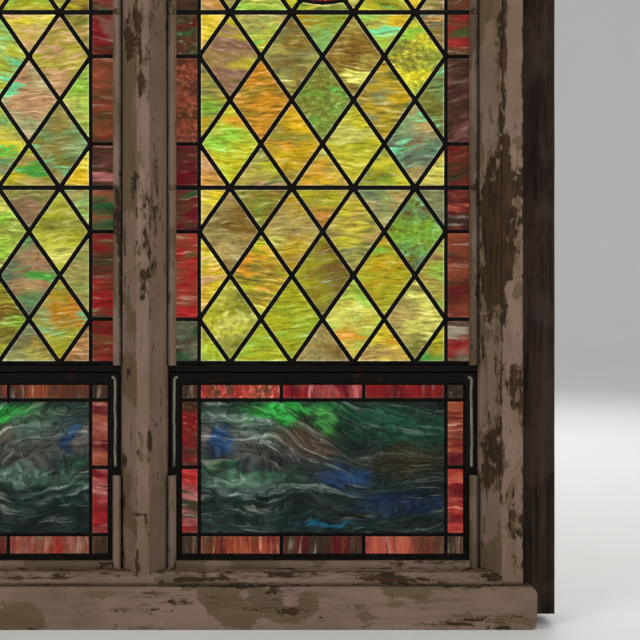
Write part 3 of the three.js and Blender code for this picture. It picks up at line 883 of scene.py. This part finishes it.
def crown_border(cames, border, centre, top, edge_z, edge_x, rng):
    """Row of border pieces under the head."""
    xs = border_columns(centre, edge_x)
    for start, end in zip(xs, xs[1:]):
        border.add(rectangle(start + HEART, top + HEART, end - HEART, edge_z), border_tones(rng))
    for x in xs[1:-1]:
        cames.line(BORDER_LEAD, (x, top), (x, edge_z))
    cames.line(EDGE_LEAD, (xs[0], top), (xs[0], edge_z), (xs[-1], edge_z), (xs[-1], top))


def roundel(cames, field, border, x, z, radius, rng):
    """Plain round medallion: a ruby ring in four parts round a disc of pale gold."""
    for reach in (radius, ROUNDEL_INNER_R):
        points = arc_points(x, z, reach, 0, 2 * math.pi, ROUNDEL_STEPS)
        for i in range(0, ROUNDEL_STEPS, ROUNDEL_ARC):
            cames.line(BORDER_LEAD, *points[i:i + ROUNDEL_ARC + 1], bent=True)
    turn = 2 * math.pi / ROUNDEL_SPOKES
    gap = HEART / radius
    for i in range(ROUNDEL_SPOKES):
        angle = turn * (i + 0.5)
        inner, outer = (arc_points(x, z, reach, angle, angle, 1)[0] for reach in (ROUNDEL_INNER_R, radius))
        cames.line(BORDER_LEAD, inner, outer)
        inner, outer = (arc_points(x, z, reach, angle + gap, angle + turn - gap, ROUNDEL_PARTS)
                        for reach in (ROUNDEL_INNER_R + HEART, radius - HEART))
        for j in range(ROUNDEL_PARTS):
            border.add([outer[j], outer[j + 1], inner[j + 1], inner[j]],
                       (RUBY, CRIMSON, SALMON, rng.uniform(0.8, 1.0), angle))
    disc = arc_points(x, z, ROUNDEL_INNER_R - HEART, 0, 2 * math.pi, DISC_STEPS)[:-1]
    field.add(disc, (LEMON, TAN, GOLD, 1.0, 0.0))


# Vents
# Broad areas of the pane: across, up and half sizes from its middle, tilt of each, and its colour
POOLS = (
    (0.000, 0.100, 0.240, 0.030, 0.00, colour(44, 66, 52)),
    (0.120, 0.070, 0.100, 0.034, -0.20, colour(34, 92, 66)),
    (0.150, 0.012, 0.075, 0.024, 0.10, colour(78, 72, 48)),
    (0.140, -0.062, 0.080, 0.018, 0.05, colour(28, 50, 82)),
    (-0.120, 0.030, 0.075, 0.026, -0.20, colour(92, 94, 88)),
    (-0.100, 0.070, 0.080, 0.014, -0.30, colour(96, 120, 104)),
    (-0.130, -0.020, 0.090, 0.014, 0.05, colour(84, 122, 96)),
    (-0.028, 0.048, 0.046, 0.026, -0.45, colour(104, 84, 66)),
    (-0.204, 0.050, 0.012, 0.028, 0.00, colour(134, 124, 118)),
    (-0.178, 0.050, 0.014, 0.024, 0.00, colour(46, 84, 128)),
    (-0.190, 0.006, 0.026, 0.010, 0.10, colour(38, 104, 58)),
    (0.038, -0.020, 0.040, 0.017, -0.10, colour(42, 82, 132)),
    (-0.058, 0.098, 0.062, 0.014, 0.05, colour(60, 200, 78)),
    (0.002, 0.078, 0.013, 0.024, 0.55, colour(110, 220, 110)),
    (0.016, -0.101, 0.034, 0.005, 0.03, colour(20, 128, 160)),
    (-0.120, -0.070, 0.100, 0.020, 0.00, colour(26, 50, 44)),
)
PANE_BASE = colour(34, 54, 50)
# Place on the poured sheet that each pane is cut from
PANE_LOTS = {"left": (6.529, 0.381, 6.401), "right": (3.544, 3.879, 0.61)}
PANE_GRID = 0.0035
VENT_SUN = 1.25
CORNER_TONES = (SMOKE, UMBER, SMOKE, 0.55, 0.0)


def pane_tones(centre_x, centre_z, sign):
    """Colours of the poured sheet, by place: its broad areas run into each other."""
    def tones(x, z):
        dx, dz = sign * (x - centre_x), z - centre_z
        dx += 0.018 * rugged(Vector((dx * 22, dz * 34, 1.7 * sign)))
        dz += 0.013 * rugged(Vector((dx * 26, dz * 60, 8.2 * sign)))
        tone = Vector(PANE_BASE[:3])
        for across, up, half_x, half_z, tilt, pool in POOLS:
            along = (dx - across) * math.cos(tilt) + (dz - up) * math.sin(tilt)
            cross = (dz - up) * math.cos(tilt) - (dx - across) * math.sin(tilt)
            reach = (along / half_x) ** 2 + (cross / half_z) ** 2
            share = 1 / (1 + reach ** 3)
            tone = tone.lerp(Vector(pool[:3]), share)
        pale = tone.lerp(Vector((0.30, 0.40, 0.34)), 0.30)
        # Painted shade: the pane's daylight falls off towards the side away from the mullion
        outer_side_shade = 1 / (1 + math.exp(-(dx - 0.02) / 0.04))
        gleam = 0.95 - 0.30 * outer_side_shade + 0.25 * noise.noise(Vector((dx * 18, dz * 30, 4.4)))
        return (*tone, 1.0), (*(tone * 0.36), 1.0), (*pale, 1.0), gleam, 0.0
    return tones


def pane_flow(centre_x, centre_z, sign):
    """Stream lines of the poured glass, as sheet coordinates of a place on the pane."""
    def flow(x, z):
        dx, dz = sign * (x - centre_x), z - centre_z
        height = max(0.0, min(1.0, (dz + 0.06) / 0.10))
        slide = 0.055 * math.tanh((dx + 0.03) / 0.075) * height
        crest = 0.022 * math.exp(-((dx - 0.02) / 0.035) ** 2) * height
        roll = 0.005 * math.sin(dx * 26 + dz * 30) + 0.017 * noise.noise(Vector((dx * 9, dz * 15, 3.0)))
        fold = 0.004 * rugged(Vector((dx * 18, dz * 40, 5.0)))
        return dx + 0.02 * noise.noise(Vector((dx * 8, dz * 20, 9.0))), dz + slide - crest + roll + fold
    return flow


def vent_panel(side, sign):
    rng = random.Random(212 + sign)
    low, high = box_of(f"{side}_vent_lead")
    glass_low, glass_high = box_of(f"{side}_vent_glass")
    centre = middle(low.x, high.x)
    edge_x = (high.x - low.x) / 2 - EDGE_LEAD / 2
    z0, z1 = low.z + EDGE_LEAD / 2, high.z - EDGE_LEAD / 2
    pane_low, pane_high = low.z + VENT_PANE_FOOT, high.z - VENT_PANE_HEAD
    xs = border_columns(centre, edge_x)
    cames = Cames()
    border = Glazing(glass_low.y, glass_high.y)
    for start, end in zip(xs, xs[1:]):
        for bottom, top in ((z0, pane_low), (pane_high, z1)):
            tones = border_tones(rng, VENT_SUN)
            if start == xs[0] or end == xs[-1]:
                tones = CORNER_TONES
            border.add(rectangle(start + HEART, bottom + HEART, end - HEART, top - HEART),
                       (*tones[:4], math.pi / 2))
    level = middle(pane_low, pane_high)
    for start, end in ((xs[0], xs[1]), (xs[-2], xs[-1])):
        for bottom, top in ((pane_low, level), (level, pane_high)):
            border.add(rectangle(start + HEART, bottom + HEART, end - HEART, top - HEART),
                       border_tones(rng, VENT_SUN))
        cames.line(BORDER_LEAD, (start, level), (end, level))
    for x in xs[1:-1]:
        cames.line(BORDER_LEAD, (x, z0), (x, pane_low))
        cames.line(BORDER_LEAD, (x, pane_high), (x, z1))
    for x in (xs[1], xs[-2]):
        cames.line(BORDER_LEAD, (x, pane_low), (x, level), (x, pane_high))
    for z in (pane_low, pane_high):
        cames.line(BORDER_LEAD, *[(x, z) for x in xs])
    cames.frame(EDGE_LEAD, xs[0], z0, xs[-1], z1)
    pane = Glazing(glass_low.y, glass_high.y, PANE_GRID, PANE_LOTS[side])
    pane.add(rectangle(xs[1] + HEART, pane_low + HEART, xs[-2] - HEART, pane_high - HEART),
             pane_tones(centre, level, sign), pane_flow(centre, level, sign))
    body = f"{side}_vent"
    finished_object(f"{side}_vent_pane", pane.mesh(f"{side}_vent_pane", rng), PANE_GLASS, body,
                    [f"{side}_vent_glass"])
    finished_object(f"{side}_vent_border_pieces", border.mesh(f"{side}_vent_border", rng), BORDER_GLASS,
                    body)
    mesh = lead_mesh(f"{side}_vent_cames", cames, low.y + LEAD_SET, high.y - LEAD_SET, 5)
    finished_object(f"{side}_vent_cames", mesh, LEAD, body, [f"{side}_vent_lead"])


# Timber with its flaked paint
# Side faces of the mullion and the jambs, which the beads are painted fast to, and long edges
WALLS_X = (0.0415, 0.5797)
ARRISES_X = (0.0105, 0.0415, 0.5797, 0.6152, 0.6512)
ARRISES_Z = (0.001, 0.075, 0.0953)
ARRIS_REACH = 0.0024
NOSING_TOP = 0.075
STRIP_EDGE = 0.0765
SILL_TOP = 0.096
SHADE_AND_DIRT_REACH = 0.0022
FOOT_REACH = 0.0025
SPLINTER_W = 0.0045
WORN_GAIN = 0.84
BEAD_OLIVE = 0.22
# Painted shade, with some dirt, added on the beads beside the jambs
BEAD_SHADE_AND_DIRT = 0.18
MULLION_REACH = 0.3
PAINTED_IN = 0.0009
PAINT_FILM = 0.0007
SAW_DEPTH = 0.0009
# Worn places that the photo shows: middle across and up, half sizes, and how worn
WORN_PLACES = (
    (0.613, 1.020, 0.007, 0.052, 1.1),
    (0.612, 0.700, 0.012, 0.100, 1.3),
    (0.596, 0.735, 0.010, 0.036, 1.1),
    (0.603, 0.620, 0.010, 0.050, 0.9),
    (0.621, 0.800, 0.006, 0.030, 1.0),
    (0.634, 0.700, 0.007, 0.080, 1.0),
    (0.650, 0.780, 0.006, 0.050, 0.9),
    (0.630, 0.420, 0.009, 0.030, 0.8),
    (0.600, 0.282, 0.012, 0.036, 1.2),
    (0.640, 0.170, 0.009, 0.040, 0.9),
    (-0.022, 1.020, 0.009, 0.042, 1.1),
    (-0.004, 0.960, 0.003, 0.045, 0.7),
    (0.006, 0.960, 0.003, 0.040, 0.8),
    (-0.014, 0.760, 0.006, 0.024, 0.9),
    (0.004, 0.690, 0.004, 0.028, 0.9),
    (0.000, 0.590, 0.005, 0.028, 0.9),
    (-0.026, 0.435, 0.009, 0.018, 0.8),
    (-0.010, 0.110, 0.005, 0.012, 0.9),
    (-0.008, 0.196, 0.012, 0.0016, 1.2),
    (0.006, 0.186, 0.003, 0.012, 1.2),
    (-0.020, 0.330, 0.0022, 0.014, 1.1),
    (0.012, 0.322, 0.0022, 0.015, 1.1),
    (-0.034, 0.285, 0.003, 0.008, 1.1),
    (0.256, 0.030, 0.020, 0.006, 0.9),
    (0.310, 0.022, 0.016, 0.005, 0.9),
    (-0.040, 0.032, 0.018, 0.005, 0.8),
    (0.110, 0.086, 0.040, 0.0030, 1.0),
    (0.240, 0.092, 0.050, 0.0024, 1.0),
    (0.420, 0.088, 0.030, 0.0030, 1.0),
    (0.590, 0.090, 0.022, 0.0040, 1.0),
    (-0.180, 0.088, 0.050, 0.0030, 1.0),
    (-0.400, 0.084, 0.030, 0.0040, 0.9),
)


def flake_level(place, grain, seed):
    """How far the paint is gone at a place: over 0 it is bare."""
    stretch = Vector((place.x * grain[0], place.y * grain[1], place.z * grain[2]))
    broad = rugged(stretch * 34 + Vector((seed, 0, 0)), 5, 0.75)
    across = place.x if grain[2] < 1 else place.z
    board = math.floor(across / SPLINTER_W) * 0.9
    broken = noise.noise(Vector((board, place.z * 9 + seed, place.x * 9)))
    jagged = rugged(place * 60 + Vector((seed, 3, 0)))
    where = rugged(place * 3.1 + Vector((seed * 2, 5, 0)), 2, 0.9)
    level = broad * 0.5 + jagged * 0.14 + broken * 0.22 + where * 0.4 - 0.55
    for x, z, half_x, half_z, more in WORN_PLACES:
        away = ((place.x - x) / half_x) ** 2 + ((place.z - z) / half_z) ** 2
        if away < 9:
            level += WORN_GAIN * more * math.exp(-away / 2) * (1 + jagged / 2)
    return max(-1.0, min(1.0, level))


def grime_level(place):
    """Dirt and painted shade in the corners beside the beads and under the sill strip's edge."""
    in_corner = place.z > SILL_TOP and place.y < 0.0
    beside = min(abs(abs(place.x) - x) for x in WALLS_X) / SHADE_AND_DIRT_REACH if in_corner else 9.0
    foot = abs(place.z - STRIP_EDGE) / FOOT_REACH if place.y < -0.04 else 9.0
    return max(math.exp(-beside * beside), math.exp(-foot * foot)) * 0.9


def arris_level(place):
    """Nearness to a long edge, where the paint chips first."""
    near = min(abs(abs(place.x) - x) for x in ARRISES_X) if place.z > 0.09 else 1.0
    near = min(near, min(abs(place.z - z) for z in ARRISES_Z))
    return math.exp(-near / ARRIS_REACH)


def coat_level(place, normal, seed):
    """How much of the older olive coat shows: more low down, and on the bevels that face left as painted
    shade.
    """
    # Painted shade: the bevels that face left get more of the darker olive coat
    left_bevel_shade = min(max(0.0, -normal.x), abs(normal.y)) * 0.26
    low = 0.08 if place.z < NOSING_TOP else 0.0
    return rugged(place * 7 + Vector((0, seed, 3))) * 0.4 - 0.11 + left_bevel_shade + low


def add_values(mesh, **values):
    for name, numbers in values.items():
        mesh.attributes.new(name, "FLOAT", "POINT")
        mesh.attributes[name].data.foreach_set("value", numbers)


def fine_mesh(node, upright, step):
    """The node's solid cut fine enough to carry relief on the faces that the room sees."""
    work = bmesh.new()
    work.from_mesh(frame["nodes"][node].data)
    bmesh.ops.remove_doubles(work, verts=list(work.verts), dist=1e-5)
    bmesh.ops.dissolve_limit(
        work, angle_limit=math.radians(1), verts=list(work.verts), edges=list(work.edges))
    slice_along(work, 2 if upright else 0, step)
    seen = [face for face in work.faces
            if face.normal.y < -0.2 or face.normal.z > 0.4 and not upright]
    cross_cuts(work, seen, 0 if upright else 2, step)
    bmesh.ops.triangulate(work, faces=[face for face in work.faces if len(face.verts) > 4])
    work.normal_update()
    return work


def painted_copy(node, upright, step, seed):
    """Fine copy of a timber node, its paint film broken where it has flaked."""
    work = fine_mesh(node, upright, step)
    grain = UPRIGHT_GRAIN if upright else LEVEL_GRAIN
    values = {"flake": [], "coat": [], "grime": [], "arris": []}
    low, high = box_of(node)
    is_bead = "stop" in node
    # Beads beside the jambs get more olive coat, and painted shade with dirt
    shaded_jamb_bead = is_bead and max(abs(low.x), abs(high.x)) > MULLION_REACH
    for vert in work.verts:
        level = flake_level(vert.co, grain, seed)
        values["flake"].append(level)
        values["coat"].append(coat_level(vert.co, vert.normal, seed) + (BEAD_OLIVE if shaded_jamb_bead else 0.0))
        values["grime"].append(grime_level(vert.co) + (BEAD_SHADE_AND_DIRT if shaded_jamb_bead else 0.0))
        values["arris"].append(arris_level(vert.co))
        film = PAINT_FILM if level < 0 else 0.0
        rough = rugged(vert.co * 90, 2) * 0.00015
        vert.co -= vert.normal * (PAINT_FILM - film - rough)
        if is_bead and upright:
            for edge in (low.x, high.x):
                wall = min(WALLS_X, key=lambda x: abs(abs(edge) - x))
                if abs(vert.co.x - edge) < 0.001 and abs(abs(edge) - wall) < 0.001:
                    into_wall = PAINTED_IN if wall > MULLION_REACH else -PAINTED_IN
                    vert.co.x = math.copysign(wall + into_wall, edge)
    mesh = softened(work, node)
    add_values(mesh, **values)
    return mesh


def softened(work, name):
    """Smooth mesh that keeps its square edges sharp."""
    mesh = mesh_of(work, name)
    mesh.shade_smooth()
    mesh.set_sharp_from_angle(angle=math.radians(28))
    return mesh


def rough_copy(node, step, depth):
    """Fine copy of a raw timber node with its saw marks and splits."""
    work = fine_mesh(node, True, step)
    for vert in work.verts:
        stretched = Vector((vert.co.x * 90, vert.co.y * 90, vert.co.z * 8))
        vert.co -= vert.normal * depth * (0.5 + 0.5 * rugged(stretched))
    return softened(work, node)


def even_levels(values, step):
    """Heights at even steps between the lowest and the highest value."""
    low, high = min(values), max(values)
    return [low + i * step for i in range(1, int((high - low) / step))]


def slice_along(work, axis, step):
    """Cuts a long coarse solid across at even steps, each time only in the part not yet cut."""
    normal = axis_vector(axis)
    rest = [*work.verts, *work.edges, *work.faces]
    for level in even_levels([vert.co[axis] for vert in work.verts], step):
        result = bmesh.ops.bisect_plane(work, geom=rest, dist=1e-6, plane_co=normal * level, plane_no=normal)
        rest = []
        for item in result["geom"] + result["geom_cut"]:
            if isinstance(item, bmesh.types.BMVert):
                if item.co[axis] > level - 1e-6:
                    rest.append(item)
            elif max(vert.co[axis] for vert in item.verts) > level + 1e-6:
                rest.append(item)
        rest = list(dict.fromkeys(rest))


def cross_cuts(work, faces, axis, step):
    """Cuts the given faces, and those that come of them, at even steps."""
    normal = axis_vector(axis)
    for level in even_levels([vert.co[axis] for face in faces for vert in face.verts], step):
        crossing = []
        for face in faces:
            if face.is_valid:
                heights = [vert.co[axis] for vert in face.verts]
                if min(heights) < level - 1e-6 and max(heights) > level + 1e-6:
                    crossing.append(face)
        if not crossing:
            continue
        edges = {edge for face in crossing for edge in face.edges}
        verts = {vert for face in crossing for vert in face.verts}
        result = bmesh.ops.bisect_plane(
            work, geom=[*verts, *edges, *crossing], dist=1e-6, plane_co=normal * level, plane_no=normal)
        fresh = [item for item in result["geom"] if isinstance(item, bmesh.types.BMFace)]
        faces = list(dict.fromkeys([face for face in faces if face.is_valid] + fresh))


UPRIGHTS = ("mullion", "jamb_left", "jamb_right", "casing_left", "casing_right",
            *[f"{side}_{bead}_{edge}" for side in SIDES for bead in ("stop", "vent_stop") for edge in SIDES])
RAILS = ("sill", "sill_nosing", "sill_strip", "head", "casing_top",
         *[f"{side}_{bead}" for side in SIDES for bead in ("stop_top", "vent_stop_bottom")])
STEP = 0.003


def timber():
    for nodes, upright, material, first, turn in (
            (UPRIGHTS, True, PAINT_UPRIGHT, 0, 3.7), (RAILS, False, PAINT_LEVEL, 40, 5.3)):
        for order, node in enumerate(nodes):
            mesh = painted_copy(node, upright, STEP, first + order * turn)
            finished_object(f"{node}_painted", mesh, material, "frame", [node])
    for side in SIDES:
        mesh = rough_copy(f"buck_{side}", STEP, SAW_DEPTH)
        finished_object(f"buck_{side}_rough", mesh, RAW_TIMBER, "frame", [f"buck_{side}"])


def dress_plain_nodes():
    for side in SIDES:
        for bar in ("saddle_bar_lower", "saddle_bar_upper", "transom_bar", "vent_frame",
                    "vent_side_stop_left", "vent_side_stop_right"):
            for slot in bpy.data.objects[f"{side}_{bar}"].material_slots:
                slot.material = STEEL


# Small fittings
# Gap between the vent and the timber, across from a light's middle
GAP_INNER = 0.26675
GAP_OUTER = 0.26895
WASHER_R = 0.0115
WASHER_BEVEL = 0.0004
PIN_R = 0.0043
PIVOT_Y = -0.005
PIVOT_Z = 0.266
WASHER_STEPS = 28
STRIP_INSET = 0.0075
STRIP_W = 0.0046
STRIP_T = 0.0009
STRIP_GAP = 0.0008
STRIP_BEND = 0.003
STRIP_TOP = 0.428
STRIP_FOOT = 0.272
PUTTY_X = 0.2625
PUTTY_Y = -0.0232
PUTTY_HALF = (0.0062, 0.0022, 0.0052)
NAIL_SPACING = 0.235
NAIL_R = 0.0019
NAIL_SINK = 0.0006


def washer(name, x0, x1):
    """Ring round a pivot pin, between the vent and the timber."""
    work = bmesh.new()
    rings = []
    flat = WASHER_R - WASHER_BEVEL
    profile = ((PIN_R, x0), (flat, x0), (WASHER_R, x0 + WASHER_BEVEL),
               (WASHER_R, x1 - WASHER_BEVEL), (flat, x1), (PIN_R, x1))
    for i in range(WASHER_STEPS):
        angle = 2 * math.pi * i / WASHER_STEPS
        rings.append([work.verts.new((x, PIVOT_Y + r * math.cos(angle), PIVOT_Z + r * math.sin(angle)))
                      for r, x in profile])
    for i, ring in enumerate(rings):
        following = rings[(i + 1) % WASHER_STEPS]
        for j in range(len(profile)):
            k = (j + 1) % len(profile)
            work.faces.new((ring[j], ring[k], following[k], following[j]))
    bmesh.ops.recalc_face_normals(work, faces=list(work.faces))
    finished_object(name, mesh_of(work, name), STEEL, "frame")


def strip_group():
    """Runs a thin bent strip along lines."""
    group = Group("Bent strip along lines", "Strip", Lines="Geometry", Strip_Width="Float",
                  Strip_Thickness="Float")
    curves = group.node("GeometryNodeMeshToCurve", sockets={"Mesh": group.given("Lines")})
    even = group.node("GeometryNodeResampleCurve", sockets={"Curve": curves, "Count": 60})
    bent = group.moved(even, group.wander(34.0, (0.0036, 0.0012, 0.0), (-0.0018, -0.0008, 0.0)))
    upright = group.node("GeometryNodeSetCurveNormal", {"mode": "FREE"}, {
        "Curve": bent, "Normal": (0.0, 1.0, 0.0)})
    face = group.node("GeometryNodeCurvePrimitiveQuadrilateral", sockets={
        "Width": group.given("Strip Thickness"), "Height": group.given("Strip Width")})
    return group.closed(group.swept(upright, face), ZINC)


def weatherstrip(name, side, sign, tree):
    """Loose metal strip on the upper half of the vent's frame."""
    low, high = box_of(f"{side}_vent_stop_bottom")
    x = middle(low.x, high.x) + sign * (GAP_INNER - STRIP_INSET)
    y = box_of(f"{side}_vent_frame")[0].y - STRIP_GAP
    points = [(x - sign * 2 * STRIP_BEND, y, STRIP_TOP), (x, y, STRIP_TOP - STRIP_BEND), (x, y, STRIP_FOOT)]
    source = bpy.data.meshes.new("line")
    source.from_pydata(points, [(0, 1), (1, 2)], [])
    mesh = evaluated_mesh(source, tree, {"Strip Width": STRIP_W, "Strip Thickness": STRIP_T})
    finished_object(name, mesh, ZINC, f"{side}_vent")


def putty_lump(name, x, z, seed):
    """Painted putty over the end of a saddle bar."""
    work = bmesh.new()
    bmesh.ops.create_icosphere(work, subdivisions=4, radius=1.0)
    for vert in work.verts:
        grown = 1 + 0.35 * rugged(vert.co * 1.6 + Vector((seed, 0, 0)))
        vert.co = Vector((x, PUTTY_Y, z)) + vert.co * grown * Vector(PUTTY_HALF)
    mesh = mesh_of(work, name)
    mesh.shade_smooth()
    count = len(mesh.vertices)
    add_values(mesh, flake=[-0.14] * count, coat=[0.1] * count, grime=[0.15] * count, arris=[0.3] * count)
    finished_object(name, mesh, PAINT_UPRIGHT, "frame")


def nail_group():
    """Sets a flat round nail head on every point, facing the room."""
    group = Group("Nail heads on points", "Nails", Points="Geometry", Head_Radius="Float", Seed="Int")
    head = group.node("GeometryNodeMeshUVSphere", sockets={
        "Segments": 16, "Rings": 8, "Radius": group.given("Head Radius")})
    heads = group.node("GeometryNodeInstanceOnPoints", sockets={
        "Points": group.given("Points"), "Instance": head,
        "Scale": group.random_vector((0.8, 0.28, 0.8), (1.15, 0.4, 1.15))})
    return group.closed(heads, STEEL)


def nails():
    """Nail heads along the casing, the sill's front board and the raw timber."""
    rng = random.Random(5)
    casing_low, casing_high = box_of("casing_right")
    nosing_low, nosing_high = box_of("sill_nosing")
    buck_low, buck_high = box_of("buck_right")
    points = []
    for sign in SIDES.values():
        for share, low, high in ((0.3, casing_low, casing_high), (0.72, casing_low, casing_high),
                                 (0.35, buck_low, buck_high)):
            for i in range(int((high.z - low.z) / NAIL_SPACING)):
                z = low.z + (i + 0.5 + rng.uniform(-0.12, 0.12)) * NAIL_SPACING
                x = low.x + (share + rng.uniform(-0.06, 0.06)) * (high.x - low.x)
                points.append((sign * x, low.y + NAIL_SINK, z))
    for i in range(int((nosing_high.x - nosing_low.x) / NAIL_SPACING)):
        x = nosing_low.x + (i + 0.5 + rng.uniform(-0.1, 0.1)) * NAIL_SPACING
        z = middle(nosing_low.z, nosing_high.z) + rng.uniform(-0.01, 0.012)
        points.append((x, nosing_low.y + NAIL_SINK, z))
    source = bpy.data.meshes.new("points")
    source.from_pydata(points, [], [])
    mesh = evaluated_mesh(source, nail_group(), {"Head Radius": NAIL_R, "Seed": 4})
    finished_object("nail_heads", mesh, STEEL, "frame")


def small_fittings():
    nails()
    tree = strip_group()
    for side in SIDES:
        low, high = box_of(f"{side}_saddle_bar_lower")
        centre = middle(low.x, high.x)
        for edge, sign in SIDES.items():
            gap = sorted((centre + sign * GAP_INNER, centre + sign * GAP_OUTER))
            washer(f"{side}_pivot_washer_{edge}", *gap)
            weatherstrip(f"{side}_weatherstrip_{edge}", side, sign, tree)
            for order, bar in enumerate(("lower", "upper")):
                z = middle(*(corner.z for corner in box_of(f"{side}_saddle_bar_{bar}")))
                putty_lump(f"{side}_putty_{bar}_{edge}", centre + sign * PUTTY_X, z, order + sign * 3.1)


# Camera, lights and floor
def camera():
    data = bpy.data.cameras.new("photo camera")
    data.sensor_width = SENSOR
    data.lens = SENSOR * EYE_DISTANCE / (PHOTO * METRES_PER_PIXEL)
    data.shift_x = (PHOTO / 2 - EYE_PIXEL[0]) / PHOTO
    data.shift_y = -(PHOTO / 2 - EYE_PIXEL[1]) / PHOTO
    data.clip_end = 100
    eye = bpy.data.objects.new("photo camera", data)
    glass_y = middle(*(corner.y for corner in box_of("right_glass_lower")))
    eye.location = ((EYE_PIXEL[0] - MULLION_PIXEL) * METRES_PER_PIXEL, glass_y - EYE_DISTANCE,
                    (GROUND_PIXEL - EYE_PIXEL[1]) * METRES_PER_PIXEL)
    eye.rotation_euler = (math.pi / 2, 0, 0)
    bpy.context.scene.collection.objects.link(eye)
    bpy.context.scene.camera = eye


def softbox(name, place, aim, size, power):
    data = bpy.data.lights.new(name, "AREA")
    data.shape = "RECTANGLE"
    data.size, data.size_y = size
    data.energy = power
    lamp = bpy.data.objects.new(name, data)
    lamp.location = place
    lamp.rotation_euler = (Vector(aim) - Vector(place)).to_track_quat("-Z", "Y").to_euler()
    bpy.context.scene.collection.objects.link(lamp)


def studio():
    """Round pale floor that bends up into a wall on every side."""
    bend, radius, top, around = 7.0, 3.0, 8.0, 96
    profile = [*arc_points(bend, radius, radius, -math.pi / 2, 0, 24), (bend + radius, top)]
    turns = [2 * math.pi * i / around for i in range(around)]
    corners = [(r * math.cos(a), r * math.sin(a), z) for r, z in profile for a in turns]
    faces = []
    for row in range(0, around * (len(profile) - 1), around):
        faces += [(row + i, row + around + i, row + around + (i + 1) % around, row + (i + 1) % around)
                  for i in range(around)]
    faces.append(tuple(range(around)))
    mesh = bpy.data.meshes.new("floor")
    mesh.from_pydata(corners, [], faces)
    mesh.shade_smooth()
    mesh.materials.append(stage_finish())
    floor = bpy.data.objects.new("floor", mesh)
    bpy.context.scene.collection.objects.link(floor)
    softbox("key", (-2.0, -2.5, 1.9), (-0.1, 0, 0.7), (1.6, 1.6), 43)
    softbox("fill", (2.2, -3.0, 1.7), (0, 0, 0.8), (1.8, 1.8), 32)
    softbox("back", (1.2, 3.0, 2.6), (0, 0, 0.7), (2.4, 2.0), 60)
    world = bpy.data.worlds.new("studio")
    world.use_nodes = True
    world.node_tree.nodes["Background"].inputs["Color"].default_value = (0.86, 0.87, 0.88, 1)
    world.node_tree.nodes["Background"].inputs["Strength"].default_value = 0.75
    bpy.context.scene.world = world
    bpy.context.scene.view_settings.view_transform = "Standard"


camera()
studio()
for side_name, side_sign in SIDES.items():
    fixed_panels(side_name, side_sign)
    vent_panel(side_name, side_sign)
timber()
dress_plain_nodes()
small_fittings()
